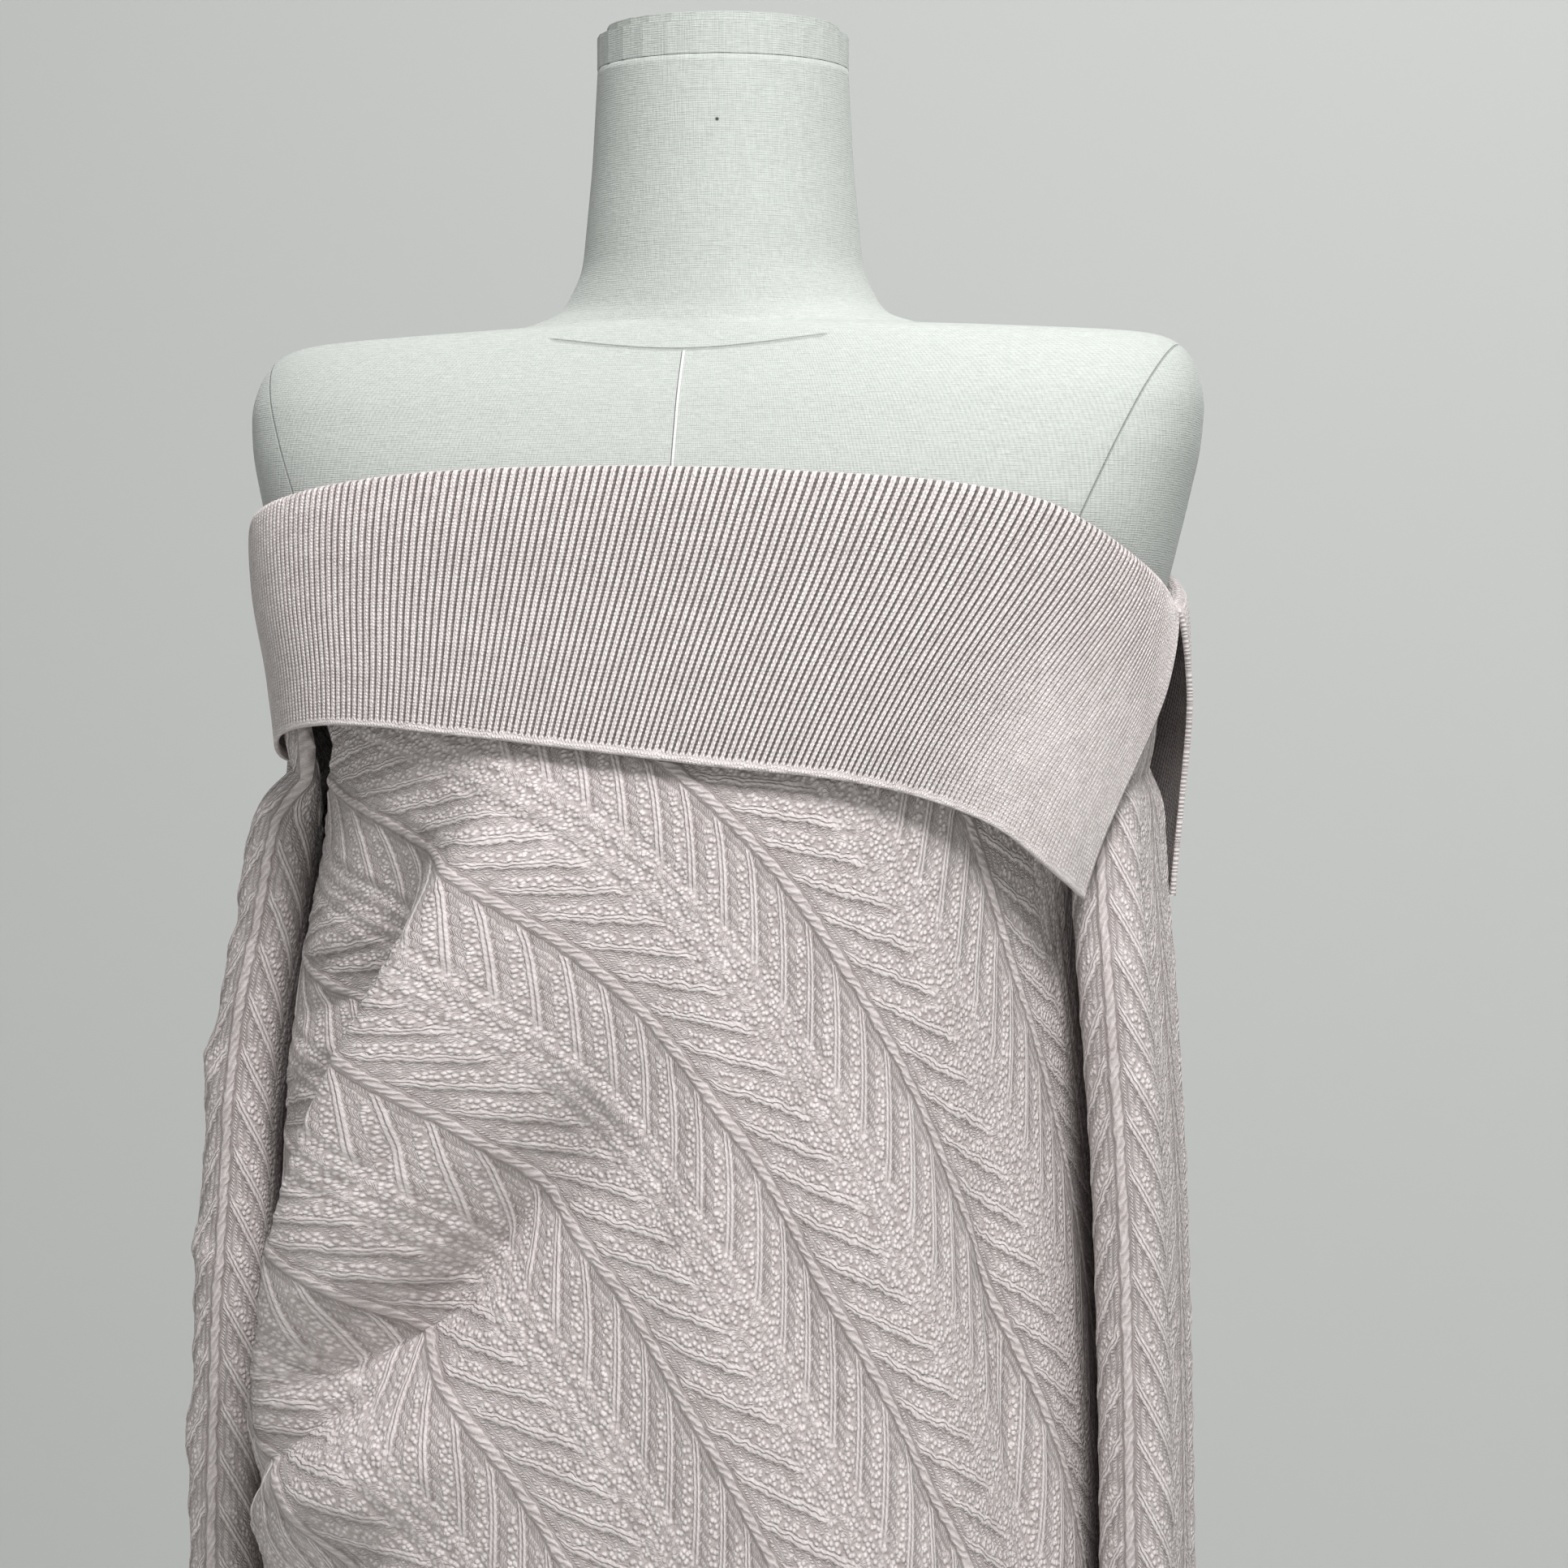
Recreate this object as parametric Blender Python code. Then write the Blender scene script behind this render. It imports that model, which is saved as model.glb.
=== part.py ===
"""Cable knit sweater with a wide folded collar, worn off the shoulders by a limbless dress form.

Metres, +Z up. The front faces -Y and +X is the form's left side. The origin is the centre of the
stand's underside. The cloth is a set of thin walls: two body panels, two sleeves and the two halves
of the collar. Each wall has a plain inner face, and an outer face with the knit's raised stems,
veins or ribs. Angles round the body run from the front (0) over +X (90) to the back (180). Names say
left and right as they are seen from the front.
"""

import math

import bmesh
import bpy
import numpy as np
from mathutils.geometry import delaunay_2d_cdt

COLLECTION = "cable_knit_sweater_on_dress_form"
GAP = 0.0003
WALL = 0.0024
RIB_WALL = 0.0018
SPREAD = 0.16  # metres of cloth across for each radian round the body

# Heights of the garment
HEM_HEIGHT = 0.275
CUFF_HEIGHT = 0.205
UNDERARM_HEIGHT = 0.605

# The stand
BASE_RADIUS = 0.165
BASE_THICKNESS = 0.014
POST_RADIUS = 0.016
FORM_BOTTOM = 0.130
CAP_RADIUS = 0.0517
CAP_HEIGHT = 0.0172
CAP_ROUNDING = 0.004

# The leaf relief: upright stems with slanted veins on both sides
STEM_SPACING = 0.080
STEM_HALF_WIDTH = 0.0034
STEM_RISE = 0.0024
VEIN_SPACING = 0.021
VEIN_REACH = 0.026
VEIN_FALL = 0.040
VEIN_RISE = 0.0014
VEIN_END_RISE = 0.0010
RELIEF_MARGIN = 0.007

# Front stems lean with the cloth, and hook towards the lower left shoulder
STEM_LEAN = 0.48
STEM_START = 0.030
STEM_STEP = 0.074
HOOK_START = -3.1
HOOK_GROWTH = 1.3
HOOK_FADE = 20.0
PATTERN_TOP = 0.672
PATTERN_SHIFT = -0.024

# The collar's ribs
RIB_SPACING = 0.0049
RIB_RISE = 0.0007
ROLL_HALF = 0.0008  # half the space inside the fold
LEG_PATH = 0.020  # nominal lengths behind and ahead of the fold
FLAP_PATH = 0.110
RIB_STOPS = (-0.0006, 0.0016, 0.0500, 0.1074)  # distances from the fold
FAN_STOPS = (-0.0006, 0.0016, 0.0160, 0.0320, 0.0540, 0.0800, 0.1074)  # where the ribs fan out
FAN_START = 62.0  # degrees
HIDDEN_STOPS = (0.0060, 0.0000, -0.0100, -0.0320, -0.0580, -0.0840)

# Where one piece lies over another, the relief is left out: degrees from the side, and distance
COVERED_HALF = 33.0
COVERED_SPACE = 0.012

# Spacing of plain points
EDGE_STEP = 0.0195
PLAIN_STEP = 0.039
BEND_LIMIT = 0.0011  # how far a straight stretch may cut into its wall
SLACK_LIMIT = {1: 0.0014, -1: 0.0025}  # and how far it may leave it, outside and inside
BEND_ROUNDS = 3


def table(columns, rows):
    """A table's columns as arrays, by their names."""
    return dict(zip(columns.split(), np.array(rows, float).T))


FORM = table(
    "height width front back square",
    (
        (0.1300, 0.1380, 0.0900, 0.0940, 2.4),
        (0.1480, 0.1460, 0.0980, 0.1020, 2.4),
        (0.2500, 0.1490, 0.1040, 0.1060, 2.3),
        (0.3500, 0.1380, 0.0950, 0.0900, 2.2),
        (0.4500, 0.1200, 0.0850, 0.0720, 2.2),
        (0.5200, 0.1270, 0.0920, 0.0780, 2.2),
        (0.6050, 0.1450, 0.1170, 0.0900, 2.2),
        (0.6600, 0.1530, 0.1180, 0.0950, 2.3),
        (0.7060, 0.1680, 0.1090, 0.0960, 2.5),
        (0.7420, 0.1805, 0.1000, 0.0930, 2.7),
        (0.7760, 0.1890, 0.0940, 0.0875, 2.9),
        (0.8020, 0.1955, 0.0860, 0.0800, 2.9),
        (0.8220, 0.1980, 0.0790, 0.0720, 2.7),
        (0.8360, 0.1950, 0.0715, 0.0665, 2.4),
        (0.8445, 0.1895, 0.0665, 0.0635, 2.1),
        (0.8485, 0.1800, 0.0640, 0.0615, 1.9),
        (0.8505, 0.1450, 0.0630, 0.0605, 1.8),
        (0.8525, 0.0900, 0.0620, 0.0600, 1.8),
        (0.8590, 0.0670, 0.0597, 0.0590, 2.0),
        (0.8760, 0.0578, 0.0573, 0.0573, 2.0),
        (0.9200, 0.0536, 0.0536, 0.0536, 2.0),
        (0.9595, 0.0515, 0.0515, 0.0515, 2.0),
    ),
)

BODY = table(
    "height left right front back square",
    (
        (0.2000, 0.1810, 0.1550, 0.1260, 0.1240, 2.4),
        (0.2750, 0.1825, 0.1550, 0.1290, 0.1230, 2.5),
        (0.3500, 0.1830, 0.1550, 0.1310, 0.1160, 2.6),
        (0.4300, 0.1830, 0.1530, 0.1300, 0.1120, 2.5),
        (0.5000, 0.1800, 0.1505, 0.1290, 0.1100, 2.4),
        (0.5600, 0.1760, 0.1490, 0.1275, 0.1080, 2.3),
        (0.6050, 0.1690, 0.1490, 0.1260, 0.1030, 2.25),
        (0.6600, 0.1600, 0.1560, 0.1225, 0.1010, 2.35),
        (0.7060, 0.1705, 0.1705, 0.1120, 0.0990, 2.5),
        (0.7420, 0.1830, 0.1830, 0.1025, 0.0955, 2.7),
        (0.7760, 0.1915, 0.1915, 0.0965, 0.0900, 2.9),
        (0.8020, 0.1980, 0.1980, 0.0885, 0.0825, 2.9),
    ),
)

# Each sleeve below its top: centre and half sizes of a flat oval. X counts away from the body.
SLEEVES = {
    "right": table(
        "height x y thick deep",
        (
            (0.2050, 0.1775, -0.007, 0.0115, 0.0515),
            (0.3500, 0.1775, -0.008, 0.0115, 0.0515),
            (0.4550, 0.1760, -0.008, 0.0115, 0.0515),
            (0.5200, 0.1737, -0.009, 0.0115, 0.0515),
            (0.5550, 0.1713, -0.008, 0.0115, 0.0520),
            (0.5900, 0.1686, -0.007, 0.0115, 0.0520),
            (0.6200, 0.1655, -0.003, 0.0115, 0.0500),
            (0.6560, 0.1630, 0.002, 0.0115, 0.0470),
            (0.6890, 0.1610, 0.005, 0.0115, 0.0460),
        ),
    ),
    "left": table(
        "height x y thick deep",
        (
            (0.2050, 0.2065, 0.018, 0.0115, 0.0540),
            (0.4000, 0.2065, 0.017, 0.0115, 0.0540),
            (0.4550, 0.2045, 0.016, 0.0115, 0.0540),
            (0.5000, 0.2010, 0.015, 0.0115, 0.0540),
            (0.5457, 0.1980, 0.014, 0.0115, 0.0540),
            (0.5790, 0.1930, 0.013, 0.0115, 0.0540),
            (0.6120, 0.1855, 0.012, 0.0115, 0.0540),
            (0.6420, 0.1795, 0.010, 0.0115, 0.0540),
            (0.6657, 0.1715, 0.006, 0.0115, 0.0545),
            (0.6790, 0.1632, 0.003, 0.0115, 0.0545),
        ),
    ),
}
SLEEVE_ROUND = 0.236
SLEEVE_HANG = {"right": (0.710, 0.655), "left": (0.704, 0.650)}  # where the tube shape sets in
SLEEVE_INNER = 0.0068  # the inner layer's distance from the body
SLEEVE_OUTER = 0.0120  # and the outer layer's
SLEEVE_SPREAD = 0.062  # depth at which the layers are that far apart
SEAM_ASIDE = 0.0008
FOLD_DEPTH = 0.042  # depth at which a sleeve starts to fold into two layers
ARMHOLE_STRAIGHT = 0.50  # share of the armhole's depth that runs straight down
ARMHOLE_ANGLE = 90.0
ARMHOLE_HALF_TOP = 34.0

# Height of the collar's folded edge round the form, and the part of it behind the fold
FOLD_LINE = table(
    "angle height leg",
    (
        (-94, 0.7500, 0.003),
        (-74, 0.7610, 0.009),
        (-60, 0.7750, 0.014),
        (-47, 0.7820, 0.018),
        (-31, 0.7880, 0.020),
        (-10, 0.7900, 0.020),
        (15, 0.7870, 0.020),
        (35, 0.7805, 0.018),
        (43, 0.7750, 0.016),
        (50, 0.7665, 0.014),
        (58, 0.7570, 0.011),
        (75, 0.7440, 0.007),
        (94, 0.7370, 0.003),
        (112, 0.7470, 0.008),
        (130, 0.7590, 0.014),
        (150, 0.7690, 0.020),
        (180, 0.7740, 0.020),
        (210, 0.7740, 0.020),
        (230, 0.7700, 0.016),
        (250, 0.7600, 0.008),
        (266, 0.7500, 0.003),
    ),
)

# Where each rib column of a flap starts at the fold and ends at the hem, how far the hem stands
# out, and how early the column moves forward
FLAPS = {
    "front": table(
        "fold_angle hem_angle hem_height stand early",
        (
            (-93, -96, 0.6740, 0.0205, 0.0),
            (-74, -77, 0.6780, 0.0190, 0.0),
            (-58, -62, 0.6860, 0.0185, 0.0),
            (-42, -47, 0.6895, 0.0160, 0.0),
            (-20, -27, 0.6850, 0.0080, 0.0),
            (-4, -12, 0.6800, 0.0075, 0.0),
            (18, 9, 0.6727, 0.0075, 0.0),
            (38, 27, 0.6670, 0.0085, 0.1),
            (52, 38, 0.6600, 0.0100, 0.3),
            (66, 48, 0.6490, 0.0160, 0.5),
            (79, 57, 0.6330, 0.0200, 0.6),
            (93, 64, 0.6215, 0.0220, 0.8),
        ),
    ),
    "back": table(
        "fold_angle hem_angle hem_height stand early",
        (
            (95, 108, 0.6200, 0.0400, 0.0),
            (108, 117, 0.6280, 0.0360, 0.0),
            (122, 128, 0.6400, 0.0290, 0.0),
            (140, 144, 0.6520, 0.0170, 0.0),
            (160, 163, 0.6600, 0.0100, 0.0),
            (180, 182, 0.6640, 0.0085, 0.0),
            (200, 202, 0.6660, 0.0085, 0.0),
            (220, 223, 0.6660, 0.0160, 0.0),
            (238, 242, 0.6650, 0.0290, 0.0),
            (252, 254, 0.6640, 0.0330, 0.0),
            (265, 263, 0.6630, 0.0320, 0.0),
        ),
    ),
}
EARLY_LIFT = 0.010

# Soft ridges and troughs from a start to an end point. Bow bends the line, rise is its height
# (below 0 for a trough), and each side has its own width.
FOLD_COLUMNS = "start_angle start_height end_angle end_height bow rise left right"
BODY_FOLDS = table(
    FOLD_COLUMNS,
    (
        (-24, 0.655, -57, 0.385, -0.008, 0.0260, 0.024, 0.044),
        (-39, 0.645, -71, 0.440, -0.006, -0.0100, 0.022, 0.018),
        (-6, 0.545, -56, 0.400, 0.010, -0.0170, 0.020, 0.026),
        (-20, 0.420, -62, 0.360, 0.006, 0.0100, 0.019, 0.020),
        (-34, 0.370, -70, 0.300, 0.000, -0.0090, 0.016, 0.020),
        (14, 0.610, -2, 0.330, 0.010, 0.0070, 0.030, 0.024),
        (20, 0.600, 22, 0.420, -0.006, -0.0060, 0.016, 0.020),
        (44, 0.580, 62, 0.250, 0.004, -0.0100, 0.024, 0.026),
        (56, 0.500, 70, 0.250, 0.000, 0.0050, 0.022, 0.022),
        (120, 0.640, 112, 0.300, 0.004, 0.0080, 0.022, 0.026),
        (145, 0.630, 152, 0.300, 0.006, -0.0090, 0.022, 0.024),
        (172, 0.640, 166, 0.260, -0.006, 0.0080, 0.026, 0.030),
        (196, 0.600, 204, 0.260, 0.005, -0.0090, 0.022, 0.026),
        (226, 0.640, 232, 0.320, 0.004, 0.0100, 0.024, 0.024),
        (250, 0.560, 256, 0.300, -0.004, -0.0070, 0.018, 0.018),
    ),
)

# The same on a sleeve: across counts from the middle of its outer side, towards the back on the
# right sleeve and towards the front on the left one
SLEEVE_FOLD_COLUMNS = "start_across start_height end_across end_height bow rise left right"
SLEEVE_FOLDS = {
    "right": table(
        SLEEVE_FOLD_COLUMNS,
        (
            (-0.026, 0.620, -0.016, 0.240, 0.002, -0.0022, 0.012, 0.012),
            (0.032, 0.600, 0.026, 0.250, 0.004, -0.0022, 0.014, 0.014),
        ),
    ),
    "left": table(
        SLEEVE_FOLD_COLUMNS,
        (
            (0.010, 0.600, 0.046, 0.565, 0.003, -0.0028, 0.014, 0.014),
            (-0.030, 0.530, 0.044, 0.475, 0.003, -0.0032, 0.015, 0.015),
            (0.000, 0.450, 0.044, 0.405, 0.002, -0.0028, 0.015, 0.015),
            (-0.044, 0.430, 0.010, 0.370, 0.002, -0.0028, 0.015, 0.015),
            (-0.010, 0.350, 0.044, 0.295, 0.003, -0.0032, 0.015, 0.015),
        ),
    ),
}

COLOURS = {
    "knit": (0.60, 0.52, 0.51),
    "rib": (0.55, 0.48, 0.47),
    "linen": (0.66, 0.69, 0.66),
    "metal": (0.72, 0.72, 0.70),
}


def smooth_between(stations, values, at):
    """Values of a smooth curve through the stations, which rise."""
    slopes = np.gradient(values, stations)
    at = np.clip(at, stations[0], stations[-1])
    index = np.clip(np.searchsorted(stations, at) - 1, 0, len(stations) - 2)
    span = stations[index + 1] - stations[index]
    t = (at - stations[index]) / span
    low, high = values[index], values[index + 1]
    low_slope, high_slope = slopes[index] * span, slopes[index + 1] * span
    rising = t * t * (3 - 2 * t)
    return (
        low * (1 - rising)
        + high * rising
        + low_slope * t * (1 - t) ** 2
        - high_slope * t * t * (1 - t)
    )


def oval_point(angle, left, right, front, back, square):
    """A point of a squared oval round the origin, at an angle in radians."""
    side, ahead = np.sin(angle), np.cos(angle)
    reach = (np.abs(side) ** square + np.abs(ahead) ** square) ** (-1 / square)
    x = np.where(side < 0, left, right) * side * reach
    y = -np.where(ahead > 0, front, back) * ahead * reach
    return x, y


def fold_rise(folds, names, across, height, turn=0.0):
    """How far the folds lift the cloth at a point. Turn is the distance once round, if it closes."""
    start_x, start_y, end_x, end_y = names
    total = np.zeros(np.broadcast(across, height).shape)
    for row in range(len(folds["rise"])):
        fold = {name: column[row] for name, column in folds.items()}
        run_x = fold[end_x] - fold[start_x]
        run_y = fold[end_y] - fold[start_y]
        length = math.hypot(run_x, run_y)
        for shift in (0.0, turn, -turn) if turn else (0.0,):
            from_x = across + shift - fold[start_x]
            from_y = height - fold[start_y]
            along = (from_x * run_x + from_y * run_y) / length**2
            beside = (from_x * run_y - from_y * run_x) / length
            kept = np.clip(along, 0, 1)
            beside = beside + fold["bow"] * np.sin(math.pi * kept)
            beyond = (along - kept) * length
            width = np.where(beside > 0, fold["left"], fold["right"])
            shape = np.exp(-((beside / width) ** 2) - (beyond / 0.022) ** 2)
            total = total + fold["rise"] * shape * (0.15 + 0.85 * np.sin(math.pi * kept) ** 0.8)
    return total


FOLD_PLACES = ("start_across", "start_height", "end_across", "end_height")


def placed_on_body(folds):
    """The body's folds with their angles turned into distances across."""
    placed = dict(folds)
    placed["start_across"] = np.radians(placed.pop("start_angle")) * SPREAD
    placed["end_across"] = np.radians(placed.pop("end_angle")) * SPREAD
    return placed


PLACED_BODY_FOLDS = placed_on_body(BODY_FOLDS)


def body_base(angle, height):
    """The body's inner face before its folds."""
    sizes = [
        smooth_between(BODY["height"], BODY[name], height)
        for name in ("left", "right", "front", "back", "square")
    ]
    x, y = oval_point(angle, *sizes)
    return np.stack([x, y, height + 0 * x], -1)


def outward(surface, across, height, step=0.0015):
    """The unit normal of a surface, by small steps across and up."""
    sideways = surface(across + step, height) - surface(across - step, height)
    upwards = surface(across, height + step) - surface(across, height - step)
    normal = np.cross(sideways, upwards)
    return normal / np.linalg.norm(normal, axis=-1, keepdims=True)


def base_surface(across, height):
    return body_base(across / SPREAD, height)


def body_surface(across, height):
    """The body's inner face with its folds."""
    base = base_surface(across, height)
    facing = outward(base_surface, across, height, 0.004)
    facing[..., 2] = 0
    around = 2 * math.pi * SPREAD
    rise = fold_rise(PLACED_BODY_FOLDS, FOLD_PLACES, across, height, around)
    return base + facing * rise[..., None]


def eased(share):
    """A smooth step from 0 to 1."""
    share = np.clip(share, 0, 1)
    return share * share * (3 - 2 * share)


def pushed_out(x, y, height, space):
    """A point moved out until it is at least that far from the body's base."""
    names = ("left", "right", "front", "back", "square")
    left, right, front, back, square = (
        smooth_between(BODY["height"], BODY[name], height) for name in names
    )
    wide = np.where(x < 0, left, right) + space
    deep = np.where(y < 0, front, back) + space
    reach = (np.abs(x / wide) ** square + np.abs(y / deep) ** square) ** (1 / square)
    scale = 1 / np.minimum(reach, 1)
    return x * scale, y * scale


def angle_at(place):
    """The angle round the body, in degrees from -90 to 270, of points in space."""
    names = ("left", "right", "front", "back")
    left, right, front, back = (
        smooth_between(BODY["height"], BODY[name], place[..., 2]) for name in names
    )
    x, y = place[..., 0], place[..., 1]
    side, ahead = x / np.where(x < 0, left, right), -y / np.where(y < 0, front, back)
    angle = np.degrees(np.arctan2(side, ahead))
    return np.where(angle < -94, angle + 360, angle)


def under_flap(place):
    """Whether points in space are hidden by a collar flap."""
    hidden = np.zeros(place.shape[:-1], bool)
    seen = angle_at(place)
    for flap in FLAPS.values():
        stations = flap["fold_angle"]
        start = seen
        for _ in range(4):
            fold = smooth_between(FOLD_LINE["angle"], FOLD_LINE["height"], start)
            hem = smooth_between(stations, flap["hem_height"], start)
            ahead = np.clip((fold - place[..., 2]) / (fold - hem), 0, 2)
            start = seen - (smooth_between(stations, flap["hem_angle"], start) - start) * ahead
        hidden |= (ahead < 1.05) & (start > stations[0]) & (start < stations[-1] - 4)
    return hidden


def covered_on_body(place):
    """Whether points on the body lie under a flap or a sleeve."""
    side = np.abs(np.abs((angle_at(place) + 180) % 360 - 180) - 90)
    return under_flap(place) | (side < COVERED_HALF)


def covered_on_sleeve(place):
    """Whether points on a sleeve lie under a flap or against the body."""
    x, y, height = np.moveaxis(place, -1, 0)
    out_x, out_y = pushed_out(x, y, height, COVERED_SPACE)
    return under_flap(place) | (np.hypot(out_x - x, out_y - y) > 0)


def neckline_height(angle):
    """Height of the seam between the collar and what hangs from it, at an angle in degrees."""
    angle = np.where(angle < -94, angle + 360, angle)
    fold = smooth_between(FOLD_LINE["angle"], FOLD_LINE["height"], angle)
    return fold - smooth_between(FOLD_LINE["angle"], FOLD_LINE["leg"], angle)


def armhole_point(share, side):
    """Angle in degrees and height of the armhole's edge. Share runs from -1 at the underarm, over
    the front or back corner at -0.5, 0 at the top and 0.5 at the other corner, to 1."""
    size = np.abs(share)
    top_part = np.clip(size / 0.5, 0, 1)
    under_part = np.clip((size - 0.5) / 0.5, 0, 1)
    turn = ARMHOLE_HALF_TOP * (top_part - under_part)
    angle = side * ARMHOLE_ANGLE + np.sign(share) * turn
    corner = side * ARMHOLE_ANGLE + np.sign(share) * ARMHOLE_HALF_TOP
    top = neckline_height(np.where(size < 0.5, angle, corner)) - GAP
    curved = ARMHOLE_STRAIGHT + (1 - ARMHOLE_STRAIGHT) * under_part
    drop = np.where(under_part > 0, curved, 0)
    return angle, top * (1 - drop) + UNDERARM_HEIGHT * drop


def tube_point(name, share, height):
    """A point of a sleeve's flat tube: straight flanks with round ends."""
    side = 1 if name == "right" else -1
    sizes = SLEEVES[name]
    part = {key: smooth_between(sizes["height"], sizes[key], height) for key in sizes}
    thick = part["thick"]
    flat = part["deep"] - thick
    run = np.abs(share) * 2 * (flat + math.pi / 2 * thick)
    turn = np.clip((run - flat) / thick, 0, math.pi)
    beyond = np.maximum(run - flat - math.pi * thick, 0)
    ahead = np.minimum(run, flat) + thick * np.sin(turn) - beyond
    x = side * (part["x"] + thick * np.cos(turn))
    return x, part["y"] + side * np.sign(share) * ahead


def sleeve_base(name, across, height):
    """A sleeve's inner face before its folds: a layer or two close over the body at the top, and
    a tube from there down."""
    side = 1 if name == "right" else -1
    share = (across / (SLEEVE_ROUND / 2) + 1) % 2 - 1
    size = np.abs(share)
    corner = side * ARMHOLE_ANGLE + np.sign(share) * ARMHOLE_HALF_TOP
    top = neckline_height(corner) - GAP
    folded = eased((top - height - FOLD_DEPTH) / FOLD_DEPTH)
    turn = np.where(size < 0.5, 2 * size, 1 + (2 * size - 1) * (1 - 2 * folded))
    angle = side * ARMHOLE_ANGLE + np.sign(share) * ARMHOLE_HALF_TOP * turn
    top = neckline_height(np.where(size < 0.5, angle, corner)) - GAP
    spread = eased((top - height) / SLEEVE_SPREAD)
    inner_layer = eased((size - 0.41) / 0.18)
    away = (SLEEVE_OUTER + (SLEEVE_INNER - SLEEVE_OUTER) * inner_layer) * spread
    close = body_base(np.radians(angle), height)
    hang_top, hang_bottom = SLEEVE_HANG[name]
    hanging = eased((hang_top - height) / (hang_top - hang_bottom))
    x, y = tube_point(name, share, height)
    x = close[..., 0] * (1 - hanging) + x * hanging
    y = close[..., 1] * (1 - hanging) + y * hanging
    x, y = pushed_out(x, y, height, away)
    return np.stack([x, y, height + 0 * x], -1)


def sleeve_surface(name):
    folds = SLEEVE_FOLDS[name]

    def base(across, height):
        return sleeve_base(name, across, height)

    def surface(across, height):
        facing = outward(base, across, height, 0.003)
        facing[..., 2] = 0
        rise = fold_rise(folds, FOLD_PLACES, across, height, SLEEVE_ROUND)
        return base(across, height) + facing * rise[..., None]

    return surface


def flap_surface(name):
    """The hidden face of a collar half. Across is the distance along the fold. Path is 0 at the
    fold, above 0 behind it down to the seam, and below 0 ahead of it down to the hem."""
    flap = FLAPS[name]

    def surface(across, path):
        angle = np.degrees(across / SPREAD)
        fold, leg = (
            smooth_between(FOLD_LINE["angle"], FOLD_LINE[column], angle)
            for column in ("height", "leg")
        )
        hem_angle, hem_height, hem_stand, early = (
            smooth_between(flap["fold_angle"], flap[column], angle)
            for column in ("hem_angle", "hem_height", "stand", "early")
        )
        behind = np.maximum(path, 0) / LEG_PATH
        ahead = np.maximum(-path, 0) / FLAP_PATH
        distance = (fold - hem_height) * ahead - (leg - GAP) * behind
        bend = np.hypot(distance, ROLL_HALF)
        height = fold - (bend - ROLL_HALF)
        even = np.clip(ahead, 0, 1)
        moved = even**1.15 * (1 - early) + (1 - (1 - even) ** 2.2) * early
        turn = np.radians(angle + (hem_angle - angle) * moved) * SPREAD
        facing = outward(base_surface, turn, height, 0.003)
        facing[..., 2] = 0
        near = GAP + RIB_WALL + ROLL_HALF + ROLL_HALF * distance / bend
        stand = near + (hem_stand - GAP - RIB_WALL - 2 * ROLL_HALF) * even**0.8
        stand = stand + EARLY_LIFT * early * np.sin(math.pi * even)
        return base_surface(turn, height) + facing * stand[..., None]

    return surface


def resampled(points, step):
    """Points along a line, a step apart, corners kept at both ends."""
    points = np.array(points, float)
    run = np.concatenate([[0], np.cumsum(np.linalg.norm(np.diff(points, axis=0), axis=1))])
    count = max(2, round(run[-1] / step) + 1)
    at = np.linspace(0, run[-1], count)
    return np.stack([np.interp(at, run, points[:, k]) for k in (0, 1)], -1)


def outline(lines, step=EDGE_STEP):
    """A closed outline from lines that follow each other, anticlockwise."""
    return np.concatenate([resampled(line, step)[:-1] for line in lines])


def distance_inside(edge, points):
    """Distance to the outline, below 0 outside it."""
    best = np.full(len(points), 1e9)
    inside = np.zeros(len(points), bool)
    for start, end in zip(edge, np.roll(edge, -1, axis=0)):
        run = end - start
        share = np.clip(((points - start) @ run) / (run @ run), 0, 1)
        gap = np.linalg.norm(points - start - share[:, None] * run, axis=1)
        best = np.minimum(best, gap)
        crosses = (start[1] > points[:, 1]) != (end[1] > points[:, 1])
        if abs(run[1]) > 1e-12:
            cut = start[0] + run[0] * (points[:, 1] - start[1]) / run[1]
            inside ^= crosses & (points[:, 0] < cut)
    return np.where(inside, best, -best)


def front_place(stem, along):
    """Where a point of the front's leaf pattern lies: stem number and distance down the stem."""
    fall = np.full(np.shape(stem), 0.1)
    for _ in range(40):
        hook = np.exp(HOOK_START + HOOK_GROWTH * stem - HOOK_FADE * fall)
        error = 1.11 * fall - 0.95 * hook - 0.050 * stem - along
        fall = fall - np.clip(error / (1.11 + 0.95 * HOOK_FADE * hook), -0.05, 0.05)
    hook = np.exp(HOOK_START + HOOK_GROWTH * stem - HOOK_FADE * fall)
    across = STEM_LEAN * fall + STEM_START - STEM_STEP * stem - hook - PATTERN_SHIFT
    return np.stack([across, PATTERN_TOP - fall], -1)


def back_place(stem, along):
    middle = math.pi * SPREAD
    across = middle + 0.02 + STEM_SPACING * stem - 0.10 * along
    return np.stack([across, PATTERN_TOP - along], -1)


def sleeve_place(stem, along):
    across = stem * SLEEVE_ROUND / 4
    return np.stack([across, PATTERN_TOP - along], -1)


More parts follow.
